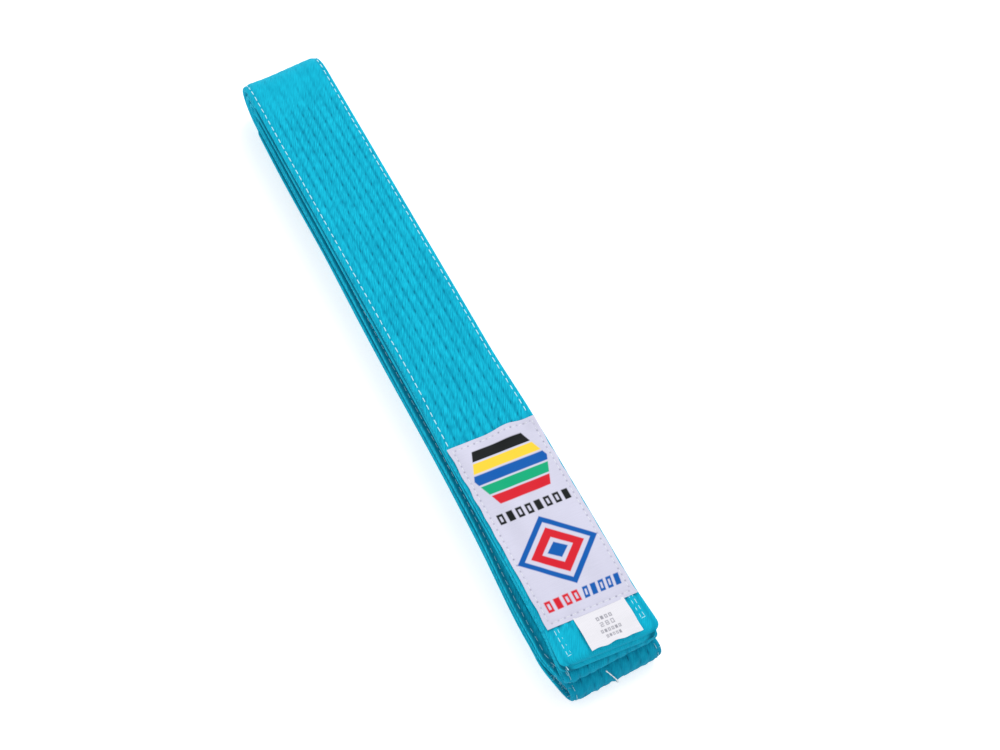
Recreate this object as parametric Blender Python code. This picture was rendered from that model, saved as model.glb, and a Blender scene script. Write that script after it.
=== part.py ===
"""Padded martial arts belt, folded in halves three times into a bundle of eight runs.

The bundle lies along Y with the belt's labelled end on top at -Y. Run 1 is the top one and run 8 lies on
the ground. Every run and loop is an open cloth sleeve, the cover, round a core of wadding. The four nested
loops at the far end (+Y) share one axis, on which the upper runs open like the pages of a book.
"""

import math
from collections import namedtuple

import bmesh
import bpy
from mathutils import Matrix, Vector

# The belt's own section.
BELT_WIDTH = 0.0430
BELT_THICKNESS = 0.0039
BELT_CORNER_RADIUS = 0.0013
COVER_WALL = 0.0005
CORE_CLEARANCE = 0.0003

# The folded bundle.
LAYERS = 8
LAYER_GAP = 0.0003
RUN_SPAN = 0.3300
MIDDLE_LOOP_SETBACK = 0.0035
TOP_END_SETBACK = 0.0070
SECOND_END_SETBACK = 0.0058

# Cloth pieces of one strip meet end to end with this gap.
JOIN_GAP = 0.0003

# Sewn ends of the belt.
END_LENGTH = 0.0045
END_NOSE_RADIUS = 0.0014

# What is sewn on the top run, each piece clear of the one below it by the surface gap.
SURFACE_GAP = 0.0003
THREAD_SIZE = 0.0004
EDGE_SEAM_INSET = 0.0022
PATCH_SIDE_MARGIN = 0.0009
PATCH_LENGTH = 0.0946
PATCH_THICKNESS = 0.0004
PATCH_TO_END = 0.0178
PATCH_SEAM_INSET = 0.0022
SIZE_LABEL_WIDTH = 0.0246
SIZE_LABEL_LENGTH = 0.0158
SIZE_LABEL_THICKNESS = 0.0002
SIZE_LABEL_OFFSET = 0.0029
END_SEAM_WIDTH = 0.0016
END_SEAM_CLEARANCE = 0.0012

# The loose thread over the lower fold at the near end.
LOOSE_THREAD_RADIUS = 0.00015
LOOSE_THREAD_CLEARANCE = 0.0003
LOOSE_THREAD_START_ANGLE = math.radians(38)
LOOSE_THREAD_END_ANGLE = math.radians(112)
LOOSE_THREAD_START_X = -0.0045
LOOSE_THREAD_END_X = 0.0004
LOOSE_THREAD_POINTS = 13

# Angles on the far axis, from straight down to straight up, where the loops that cross joints are split.
LOWEST = math.radians(-90)
OUTERMOST_SPLIT_LOW = math.radians(-45)
OUTERMOST_SPLIT_HIGH = math.radians(0)
OUTER_SPLIT = math.radians(0)
HIGHEST = math.radians(90)

BEND_STEP = math.radians(18)
CORNER_STEPS = 2
NOSE_STEPS = 3

# How far each strand lies sideways from the bundle's middle, at its far and near ends.
Strand = namedtuple("Strand", "far near")
TOP = Strand(0.0000, -0.0012)
SECOND = Strand(0.0005, -0.0018)
MIDDLE = Strand(0.0009, -0.0010)
INNER_LOWER = Strand(0.0016, -0.0024)
OUTER_LOWER = Strand(0.0022, -0.0032)
STRANDS = (TOP, SECOND, MIDDLE, INNER_LOWER, OUTER_LOWER)

# Derived sizes.
PITCH = BELT_THICKNESS + LAYER_GAP
CORE_WIDTH = BELT_WIDTH - 2 * (COVER_WALL + CORE_CLEARANCE)
CORE_THICKNESS = BELT_THICKNESS - 2 * (COVER_WALL + CORE_CLEARANCE)
CORE_CORNER_RADIUS = max(BELT_CORNER_RADIUS - COVER_WALL - CORE_CLEARANCE, 0.0002)
LOWER_LOOP_RADIUS = 1.5 * PITCH + BELT_THICKNESS / 2
MIDDLE_LOOP_RADIUS = 0.5 * PITCH + BELT_THICKNESS / 2
FAR_LOOP_RADIUS = 3.5 * PITCH + BELT_THICKNESS / 2
THREAD_REACH = LOOSE_THREAD_CLEARANCE + 2 * LOOSE_THREAD_RADIUS
BUNDLE_LENGTH = THREAD_REACH + LOWER_LOOP_RADIUS + RUN_SPAN + FAR_LOOP_RADIUS
FRONT_Y = -BUNDLE_LENGTH / 2 + THREAD_REACH
NEAR_AXIS_Y = FRONT_Y + LOWER_LOOP_RADIUS
MIDDLE_AXIS_Y = FRONT_Y + MIDDLE_LOOP_SETBACK + MIDDLE_LOOP_RADIUS
FAR_AXIS_Y = NEAR_AXIS_Y + RUN_SPAN
TOP_END_Y = FRONT_Y + TOP_END_SETBACK
SECOND_END_Y = FRONT_Y + SECOND_END_SETBACK
CENTRING = -(min(min(s) for s in STRANDS) + max(max(s) for s in STRANDS)) / 2


def layer_height(layer):
    """Height of a run's middle. Run 1 is the top one, and a half layer is the height between two runs."""
    return BELT_THICKNESS / 2 + (LAYERS - layer) * PITCH


NEAR_AXIS_Z = layer_height(6.5)
MIDDLE_AXIS_Z = layer_height(3.5)
FAR_AXIS_Z = layer_height(4.5)
TOP_Z = layer_height(1) + BELT_THICKNESS / 2
PATCH_Y = TOP_END_Y + PATCH_TO_END
PATCH_Z = TOP_Z + SURFACE_GAP
PATCH_WIDTH = BELT_WIDTH - 2 * PATCH_SIDE_MARGIN
SIZE_LABEL_Y = PATCH_Y - SURFACE_GAP

COTTON = ((0.0025, 0.400, 0.640), 0.78)
WADDING = ((0.78, 0.76, 0.70), 0.95)
PALE_THREAD = ((0.42, 0.80, 0.90), 0.60)
SATIN = ((0.78, 0.77, 0.88), 0.45)
WOVEN_WHITE = ((0.86, 0.86, 0.88), 0.60)
WHITE_THREAD = ((0.85, 0.86, 0.86), 0.55)


def clear_scene():
    """Removes every object of the open scene."""
    for obj in list(bpy.data.objects):
        bpy.data.objects.remove(obj, do_unlink=True)


def new_material(name, look):
    """A material with the given (linear colour, roughness)."""
    colour, roughness = look
    material = bpy.data.materials.new(name)
    material.use_nodes = True
    shader = material.node_tree.nodes["Principled BSDF"]
    shader.inputs["Base Color"].default_value = (*colour, 1.0)
    shader.inputs["Roughness"].default_value = roughness
    shader.inputs["Metallic"].default_value = 0.0
    return material


def new_axis(name, position, parent=None):
    """An empty on a joint's axis."""
    axis = bpy.data.objects.new(name, None)
    axis.empty_display_size = 0.01
    axis.location = Vector(position)
    if parent:
        axis.parent = parent
        axis.location -= world_position(parent)
    bpy.context.scene.collection.objects.link(axis)
    return axis


def world_position(obj):
    """Where an unrotated object stands in the world, from its own location and its parents'."""
    place = obj.location.copy()
    while obj.parent:
        obj = obj.parent
        place += obj.location
    return place


def add_object(name, bm, look, parent):
    """Makes an object of a mesh in world coordinates, with its origin on its parent's axis."""
    if parent:
        bmesh.ops.translate(bm, verts=bm.verts, vec=-world_position(parent))
    bmesh.ops.recalc_face_normals(bm, faces=bm.faces)
    mesh = bpy.data.meshes.new(name)
    bm.to_mesh(mesh)
    bm.free()
    mesh.materials.append(new_material(name, look))
    mesh.shade_smooth()
    mesh.set_sharp_from_angle(angle=math.radians(50))
    obj = bpy.data.objects.new(name, mesh)
    obj.parent = parent
    bpy.context.scene.collection.objects.link(obj)
    return obj


def section_points(width, thickness, radius):
    """The corners of a rounded rectangle in the XZ plane, in order."""
    points = []
    for quarter, (side, up) in enumerate(((1, 1), (-1, 1), (-1, -1), (1, -1))):
        centre = Vector((side * (width / 2 - radius), 0, up * (thickness / 2 - radius)))
        for step in range(CORNER_STEPS + 1):
            turn = math.radians(90) * (quarter + step / CORNER_STEPS)
            points.append(centre + radius * Vector((math.cos(turn), 0, math.sin(turn))))
    return points


def closed_loop(bm, points):
    """The edges of a closed loop through points."""
    verts = [bm.verts.new(point) for point in points]
    return [bm.edges.new(pair) for pair in zip(verts, verts[1:] + verts[:1])]


def sleeve_section(bm, place):
    """The cover's ring-shaped section at a place, as faces."""
    outer = section_points(BELT_WIDTH, BELT_THICKNESS, BELT_CORNER_RADIUS)
    inner = section_points(
        BELT_WIDTH - 2 * COVER_WALL,
        BELT_THICKNESS - 2 * COVER_WALL,
        max(BELT_CORNER_RADIUS - COVER_WALL, CORE_CORNER_RADIUS),
    )
    edges = closed_loop(bm, [place @ p for p in outer])
    edges += closed_loop(bm, [place @ p for p in inner])
    return bmesh.ops.bridge_loops(bm, edges=edges)["faces"]


def core_section(bm, place):
    """The core's solid section at a place, as one face."""
    points = section_points(CORE_WIDTH, CORE_THICKNESS, CORE_CORNER_RADIUS)
    return [bm.faces.new([bm.verts.new(place @ p) for p in points])]


def extend(bm, faces, matrix):
    """Extrudes the end faces, moves the new ones by the matrix and returns them."""
    edges = list({edge for face in faces for edge in face.edges})
    grown = bmesh.ops.extrude_face_region(bm, geom=faces + edges)["geom"]
    verts = [part for part in grown if isinstance(part, bmesh.types.BMVert)]
    bmesh.ops.transform(bm, matrix=matrix, verts=verts)
    return [part for part in grown if isinstance(part, bmesh.types.BMFace)]


def straight(bm, faces, distance):
    """Carries the end faces along Y."""
    return extend(bm, faces, Matrix.Translation((0, distance, 0)))


def bend(bm, faces, axis_y, axis_z, angle):
    """Carries the end faces round an axis along X, in steps of about BEND_STEP."""
    steps = max(2, round(abs(angle) / BEND_STEP))
    pivot = Matrix.Translation((0, axis_y, axis_z))
    step = pivot @ Matrix.Rotation(angle / steps, 4, "X") @ pivot.inverted()
    for _ in range(steps):
        faces = extend(bm, faces, step)
    return faces


def drift(strand, y):
    """How far a strand lies sideways at y."""
    share = min(max((y - NEAR_AXIS_Y) / RUN_SPAN, 0.0), 1.0)
    return CENTRING + strand.near + (strand.far - strand.near) * share


def lay_strand(bm, strand):
    """Moves a straight piece sideways to where its strand lies."""
    for vert in bm.verts:
        vert.co.x += drift(strand, vert.co.y)


def lay_loop(bm, lower, upper):
    """Moves a far loop sideways, from its lower strand at the bottom to its upper strand at the top."""
    for vert in bm.verts:
        angle = math.atan2(vert.co.z - FAR_AXIS_Z, vert.co.y - FAR_AXIS_Y)
        share = min(max((angle - LOWEST) / (HIGHEST - LOWEST), 0.0), 1.0)
        share = share * share * (3 - 2 * share)
        vert.co.x += CENTRING + lower.far + (upper.far - lower.far) * share


def hairpin(section, bottom_layer, top_layer, loop_y, strand):
    """Two runs of one strand with the loop that joins them at the near end."""
    bm = bmesh.new()
    start_y = FAR_AXIS_Y - JOIN_GAP
    faces = section(bm, Matrix.Translation((0, start_y, layer_height(bottom_layer))))
    faces = straight(bm, faces, loop_y - start_y)
    faces = bend(bm, faces, loop_y, layer_height((bottom_layer + top_layer) / 2), -math.pi)
    straight(bm, faces, start_y - loop_y)
    lay_strand(bm, strand)
    return bm


def single_run(section, layer, end_y, strand):
    """One run that stops short of the belt's sewn end at end_y."""
    bm = bmesh.new()
    start_y = FAR_AXIS_Y - JOIN_GAP
    faces = section(bm, Matrix.Translation((0, start_y, layer_height(layer))))
    straight(bm, faces, end_y + END_LENGTH - start_y)
    lay_strand(bm, strand)
    return bm


def far_loop(section, bottom_layer, start, stop, lower, upper):
    """The stretch from angle start to angle stop of the loop that begins at bottom_layer."""
    height = layer_height(bottom_layer)
    half_gap = JOIN_GAP / 2 / (FAR_AXIS_Z - height)
    start += half_gap if start > LOWEST else 0.0
    stop -= half_gap if stop < HIGHEST else 0.0
    pivot = Matrix.Translation((0, FAR_AXIS_Y, FAR_AXIS_Z))
    turned = pivot @ Matrix.Rotation(start - LOWEST, 4, "X") @ pivot.inverted()
    bm = bmesh.new()
    faces = section(bm, turned @ Matrix.Translation((0, FAR_AXIS_Y, height)))
    bend(bm, faces, FAR_AXIS_Y, FAR_AXIS_Z, stop - start)
    lay_loop(bm, lower, upper)
    return bm


def sewn_end(layer, end_y, strand):
    """The turned-in cloth that closes the belt, with a rounded nose towards -Y."""
    height = layer_height(layer)
    nose = min(END_NOSE_RADIUS, BELT_THICKNESS / 2 - 0.0002)
    back_y = end_y + END_LENGTH - JOIN_GAP
    place = Matrix.Translation((0, back_y, height))
    bm = bmesh.new()
    points = section_points(BELT_WIDTH, BELT_THICKNESS, BELT_CORNER_RADIUS)
    faces = [bm.faces.new([bm.verts.new(place @ p) for p in points])]
    faces = straight(bm, faces, end_y + nose - back_y)
    done = Vector((1, 1, 1))
    reached = 0.0
    for step in range(1, NOSE_STEPS + 1):
        turn = math.radians(90) * step / NOSE_STEPS
        inset = nose * (1 - math.cos(turn))
        size = Vector((1 - 2 * inset / BELT_WIDTH, 1, 1 - 2 * inset / BELT_THICKNESS))
        centre = Matrix.Translation((0, end_y + nose - reached, height))
        shrink = Matrix.Diagonal((size.x / done.x, 1, size.z / done.z, 1))
        advance = Matrix.Translation((0, reached - nose * math.sin(turn), 0))
        faces = extend(bm, faces, advance @ centre @ shrink @ centre.inverted())
        done = size
        reached = nose * math.sin(turn)
    lay_strand(bm, strand)
    return bm


def plate(low, high):
    """A box between two corners."""
    bm = bmesh.new()
    middle = (Vector(low) + Vector(high)) / 2
    size = Vector(high) - Vector(low)
    matrix = Matrix.Translation(middle) @ Matrix.Diagonal((*size, 1))
    bmesh.ops.create_cube(bm, size=1.0, matrix=matrix)
    return bm


def seam_loop(left, right, near, far, bottom):
    """A seam's thread, as a rectangle of square thread lying flat."""
    bm = bmesh.new()
    outline = ((left, near), (right, near), (right, far), (left, far))
    middle = Vector(((left + right) / 2, (near + far) / 2))
    edges = []
    for grow in (THREAD_SIZE / 2, -THREAD_SIZE / 2):
        points = []
        for x, y in outline:
            out_x = math.copysign(1, x - middle.x) * grow
            out_y = math.copysign(1, y - middle.y) * grow
            points.append(Vector((x + out_x, y + out_y, bottom)))
        edges += closed_loop(bm, points)
    faces = bmesh.ops.bridge_loops(bm, edges=edges)["faces"]
    extend(bm, faces, Matrix.Translation((0, 0, THREAD_SIZE)))
    return bm


def edge_seam(side):
    """The thread along one edge of the top run, from the patch to the far loop."""
    x = side * (BELT_WIDTH / 2 - EDGE_SEAM_INSET)
    near_y = PATCH_Y + PATCH_LENGTH + SURFACE_GAP
    low = (x - THREAD_SIZE / 2, near_y, TOP_Z + SURFACE_GAP)
    high = (x + THREAD_SIZE / 2, FAR_AXIS_Y - JOIN_GAP, TOP_Z + SURFACE_GAP + THREAD_SIZE)
    bm = plate(low, high)
    lay_strand(bm, TOP)
    return bm


def end_seam(side):
    """The double stitches at one edge of the belt's top end, beside the size label."""
    outer = side * (BELT_WIDTH / 2 - EDGE_SEAM_INSET)
    inner = outer - side * END_SEAM_WIDTH
    far = PATCH_Y - SURFACE_GAP - THREAD_SIZE / 2
    near = TOP_END_Y + END_LENGTH + END_SEAM_CLEARANCE
    bm = seam_loop(min(outer, inner), max(outer, inner), near, far, TOP_Z + SURFACE_GAP)
    lay_strand(bm, TOP)
    return bm


def label_patch():
    """The satin patch, flat on the top run."""
    low = (-PATCH_WIDTH / 2, PATCH_Y, PATCH_Z)
    high = (PATCH_WIDTH / 2, PATCH_Y + PATCH_LENGTH, PATCH_Z + PATCH_THICKNESS)
    bm = plate(low, high)
    lay_strand(bm, TOP)
    return bm


def patch_seam():
    """The thread that runs round the patch inside its edges."""
    half = PATCH_WIDTH / 2 - PATCH_SEAM_INSET
    near = PATCH_Y + PATCH_SEAM_INSET
    far = PATCH_Y + PATCH_LENGTH - PATCH_SEAM_INSET
    bm = seam_loop(-half, half, near, far, PATCH_Z + PATCH_THICKNESS + SURFACE_GAP)
    lay_strand(bm, TOP)
    return bm


def size_label():
    """The free part of the size label, which begins at the patch's lower edge."""
    left = SIZE_LABEL_OFFSET - SIZE_LABEL_WIDTH / 2
    low = (left, SIZE_LABEL_Y - SIZE_LABEL_LENGTH, PATCH_Z)
    high = (left + SIZE_LABEL_WIDTH, SIZE_LABEL_Y, PATCH_Z + SIZE_LABEL_THICKNESS)
    bm = plate(low, high)
    lay_strand(bm, TOP)
    return bm


def loose_thread():
    """A thread end that hangs over the lower fold, as a curve object with filled caps."""
    radius = LOWER_LOOP_RADIUS + LOOSE_THREAD_CLEARANCE + LOOSE_THREAD_RADIUS
    curve = bpy.data.curves.new("loose_thread", "CURVE")
    curve.dimensions = "3D"
    curve.bevel_depth = LOOSE_THREAD_RADIUS
    curve.bevel_resolution = 2
    curve.use_fill_caps = True
    spline = curve.splines.new("POLY")
    spline.points.add(LOOSE_THREAD_POINTS - 1)
    for index, point in enumerate(spline.points):
        share = index / (LOOSE_THREAD_POINTS - 1)
        turn = LOOSE_THREAD_START_ANGLE
        turn += (LOOSE_THREAD_END_ANGLE - LOOSE_THREAD_START_ANGLE) * share
        sway = math.sin(math.pi * share) * (LOOSE_THREAD_END_X - LOOSE_THREAD_START_X) / 8
        x = LOOSE_THREAD_START_X + (LOOSE_THREAD_END_X - LOOSE_THREAD_START_X) * share + sway
        y = NEAR_AXIS_Y - radius * math.sin(turn)
        z = NEAR_AXIS_Z + radius * math.cos(turn)
        point.co = (x + drift(OUTER_LOWER, y), y, z, 1.0)
    curve.materials.append(new_material("loose_thread", WHITE_THREAD))
    obj = bpy.data.objects.new("loose_thread", curve)
    bpy.context.scene.collection.objects.link(obj)


def add_strip(name, parent, make, *shape):
    """Adds the cover and the core of one stretch of the belt, both made with the same shape."""
    add_object(f"cover_{name}", make(sleeve_section, *shape), COTTON, parent)
    add_object(f"core_{name}", make(core_section, *shape), WADDING, parent)


def build():
    """Builds the belt: the lower half first, then each body that opens from it."""
    clear_scene()
    far_axis = (0, FAR_AXIS_Y, FAR_AXIS_Z)
    middle = new_axis("middle_pair_axis", far_axis)
    second = new_axis("second_run_axis", far_axis, middle)
    top = new_axis("top_run_axis", far_axis, second)
    label_z = PATCH_Z + SIZE_LABEL_THICKNESS / 2
    label = new_axis("size_label_axis", (0, SIZE_LABEL_Y, label_z), top)

    # hairpins: bottom and top layer, y of the near loop's axis, and strand
    add_strip("lower_outer", None, hairpin, 8, 5, NEAR_AXIS_Y, OUTER_LOWER)
    add_strip("lower_inner", None, hairpin, 7, 6, NEAR_AXIS_Y, INNER_LOWER)
    add_strip("middle_pair", middle, hairpin, 4, 3, MIDDLE_AXIS_Y, MIDDLE)

    # single runs: layer, y of the sewn end, and strand
    add_strip("second_run", second, single_run, 2, SECOND_END_Y, SECOND)
    add_strip("top_run", top, single_run, 1, TOP_END_Y, TOP)

    # far loops: bottom layer, first and last angle, lower and upper strand
    low, high = OUTERMOST_SPLIT_LOW, OUTERMOST_SPLIT_HIGH
    add_strip("loop_innermost", None, far_loop, 5, LOWEST, HIGHEST, OUTER_LOWER, MIDDLE)
    add_strip("loop_inner", None, far_loop, 6, LOWEST, HIGHEST, INNER_LOWER, MIDDLE)
    add_strip("loop_outer_low", None, far_loop, 7, LOWEST, OUTER_SPLIT, INNER_LOWER, SECOND)
    add_strip("loop_outer_high", middle, far_loop, 7, OUTER_SPLIT, HIGHEST, INNER_LOWER, SECOND)
    add_strip("loop_outermost_low", None, far_loop, 8, LOWEST, low, OUTER_LOWER, TOP)
    add_strip("loop_outermost_mid", middle, far_loop, 8, low, high, OUTER_LOWER, TOP)
    add_strip("loop_outermost_high", second, far_loop, 8, high, HIGHEST, OUTER_LOWER, TOP)

    add_object("end_closure_second", sewn_end(2, SECOND_END_Y, SECOND), COTTON, second)
    add_object("end_closure_top", sewn_end(1, TOP_END_Y, TOP), COTTON, top)
    add_object("edge_seam_left", edge_seam(-1), PALE_THREAD, top)
    add_object("edge_seam_right", edge_seam(1), PALE_THREAD, top)
    add_object("end_seam_left", end_seam(-1), PALE_THREAD, top)
    add_object("end_seam_right", end_seam(1), PALE_THREAD, top)
    add_object("label_patch", label_patch(), SATIN, top)
    add_object("patch_seam", patch_seam(), WHITE_THREAD, top)
    add_object("size_label", size_label(), WOVEN_WHITE, label)
    loose_thread()


build()
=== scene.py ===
"""Looks of a padded martial arts belt, folded in halves three times into a bundle of eight runs.

Every stretch of the belt is one padded piece: a sheet of cloth wrapped round its wadding along the belt's own
track, so that cloth, quilting and stitches carry on from one piece to the next. The labels, seams and loose
threads are separate pieces on top. All sizes are in metres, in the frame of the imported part.
"""

import logging
import math
from collections.abc import Callable
from dataclasses import dataclass, field
from enum import Enum

import bpy
import numpy as np
from mathutils import Matrix, Vector


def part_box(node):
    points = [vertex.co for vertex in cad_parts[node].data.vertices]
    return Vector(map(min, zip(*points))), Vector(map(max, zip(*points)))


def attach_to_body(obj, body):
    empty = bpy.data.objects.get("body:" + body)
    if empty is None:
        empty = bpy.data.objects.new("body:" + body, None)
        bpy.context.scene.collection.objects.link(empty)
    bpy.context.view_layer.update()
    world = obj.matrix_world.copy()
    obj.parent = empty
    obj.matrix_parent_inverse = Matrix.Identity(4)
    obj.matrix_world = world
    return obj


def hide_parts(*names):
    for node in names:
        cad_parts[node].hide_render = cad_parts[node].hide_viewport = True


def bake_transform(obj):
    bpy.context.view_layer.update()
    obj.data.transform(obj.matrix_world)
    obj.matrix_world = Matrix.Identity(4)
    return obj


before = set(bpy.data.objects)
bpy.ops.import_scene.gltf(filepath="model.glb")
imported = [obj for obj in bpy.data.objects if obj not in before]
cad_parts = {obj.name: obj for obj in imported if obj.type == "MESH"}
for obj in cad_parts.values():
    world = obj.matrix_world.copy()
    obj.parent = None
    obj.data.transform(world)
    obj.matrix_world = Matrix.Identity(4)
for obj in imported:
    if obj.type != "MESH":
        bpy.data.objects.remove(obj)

log = logging.getLogger("belt")
MM = 0.001


# ---------------------------------------------------------------- shader building


def operation(kind: str, swapped: bool = False) -> Callable[..., "Signal"]:
    """Makes a Signal's method that runs one Math node.

    Args:
        kind: the Math node's operation.
        swapped: whether the other value comes first.

    Returns:
        The method.
    """

    def method(signal: "Signal", *others: "Signal | float") -> "Signal":
        """Adds the Math node."""
        values = (*others, signal) if swapped else (signal, *others)
        node = signal.recipe.node("ShaderNodeMath", {"operation": kind}, dict(enumerate(values)))
        return Signal(signal.recipe, node.outputs[0])

    return method


class Signal:
    """A number that varies over a surface. Its operators add Math nodes to the material."""

    __add__ = operation("ADD")
    __radd__ = operation("ADD", swapped=True)
    __sub__ = operation("SUBTRACT")
    __rsub__ = operation("SUBTRACT", swapped=True)
    __mul__ = operation("MULTIPLY")
    __rmul__ = operation("MULTIPLY", swapped=True)
    __truediv__ = operation("DIVIDE")
    __abs__ = operation("ABSOLUTE")
    floor = operation("FLOOR")
    fraction = operation("FRACT")
    sine = operation("SINE")

    def __init__(self, recipe: "Recipe", socket: bpy.types.NodeSocket) -> None:
        """Wraps a node's output socket."""
        self.recipe = recipe
        self.socket = socket

    def ease(self, low: float, high: float) -> "Signal":
        """A smooth step.

        Args:
            low: the value at which the step is 0.
            high: the value at which the step is 1.

        Returns:
            The step, from 0 to 1.
        """
        settings = {"interpolation_type": "SMOOTHSTEP"}
        ins = {"Value": self, "From Min": low, "From Max": high}
        return Signal(self.recipe, self.recipe.node("ShaderNodeMapRange", settings, ins).outputs[0])


class Recipe:
    """A material under construction, with its Principled shader."""

    def __init__(self, name: str) -> None:
        """Starts an empty material of that name."""
        self.material = bpy.data.materials.new(name)
        self.material.use_nodes = True
        self.tree = self.material.node_tree
        self.shader = self.tree.nodes["Principled BSDF"]

    def node(self, kind: str, settings: dict | None = None, inputs: dict | None = None) -> bpy.types.Node:
        """Adds a node.

        Args:
            kind: the node's type.
            settings: its properties, set first.
            inputs: a value, colour, Signal or output socket for each input, by name or number.

        Returns:
            The node.
        """
        made = self.tree.nodes.new(kind)
        for key, value in (settings or {}).items():
            setattr(made, key, value)
        for key, value in (inputs or {}).items():
            self.feed(made.inputs[key], value)
        return made

    def feed(self, socket: bpy.types.NodeSocket, value: object) -> None:
        """Sets an input socket to a value, or links it to a Signal or an output socket."""
        if isinstance(value, Signal):
            self.tree.links.new(value.socket, socket)
        elif isinstance(value, bpy.types.NodeSocket):
            self.tree.links.new(value, socket)
        elif isinstance(value, tuple) and len(value) == 3 and socket.type == "RGBA":
            socket.default_value = (*value, 1.0)
        else:
            socket.default_value = value

    def set(self, **values: object) -> "Recipe":
        """Feeds the shader's inputs, whose names have _ for a blank, and returns the recipe."""
        for name, value in values.items():
            self.feed(self.shader.inputs[name.replace("_", " ")], value)
        return self

    def cloth_place(self) -> tuple[Signal, Signal]:
        """Where a point is on the cloth: metres across and along it, from the piece's own UV map."""
        coordinates = self.node("ShaderNodeUVMap", {"uv_map": Wrap.UV})
        parts = self.node("ShaderNodeSeparateXYZ", {}, {0: coordinates.outputs[0]})
        return Signal(self, parts.outputs[0]), Signal(self, parts.outputs[1])

    def attribute(self, name: str) -> bpy.types.Node:
        """The node that reads a mesh attribute."""
        return self.node("ShaderNodeAttribute", {"attribute_name": name})

    def mark(self, name: str) -> Signal:
        """A number attribute of the mesh."""
        return Signal(self, self.attribute(name).outputs["Fac"])

    def noise(self, x: Signal, y: Signal, detail: float = 2.0, z: Signal | float = 0.0) -> Signal:
        """Noise of unit scale.

        Args:
            x: first coordinate, in noise lengths.
            y: second coordinate.
            detail: octaves of finer noise.
            z: third coordinate.

        Returns:
            The noise, about 0.5.
        """
        place = self.node("ShaderNodeCombineXYZ", {}, {0: x, 1: y, 2: z})
        ins = {"Vector": place.outputs[0], "Scale": 1.0, "Detail": detail, "Roughness": 0.55}
        return Signal(self, self.node("ShaderNodeTexNoise", {}, ins).outputs[0])

    def blend(self, share: Signal | float, low: object, high: object) -> bpy.types.NodeSocket:
        """Mixes two colours.

        Args:
            share: 0 for low, 1 for high.
            low: a colour or a colour socket.
            high: a colour or a colour socket.

        Returns:
            The mixed colour's socket.
        """
        made = self.node("ShaderNodeMix", {"data_type": "RGBA", "clamp_factor": True})
        self.feed(made.inputs[0], share)
        self.feed(made.inputs[6], low)
        self.feed(made.inputs[7], high)
        return made.outputs[2]

    def bump(self, height: Signal, depth: float, strength: float = 1.0) -> None:
        """Lets a height between 0 and 1 turn the surface's normal.

        Args:
            height: the height.
            depth: how deep a height of 1 is, in metres.
            strength: share of the effect.
        """
        ins = {"Strength": strength, "Distance": depth, "Height": height}
        self.set(Normal=self.node("ShaderNodeBump", {}, ins).outputs[0])


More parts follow.
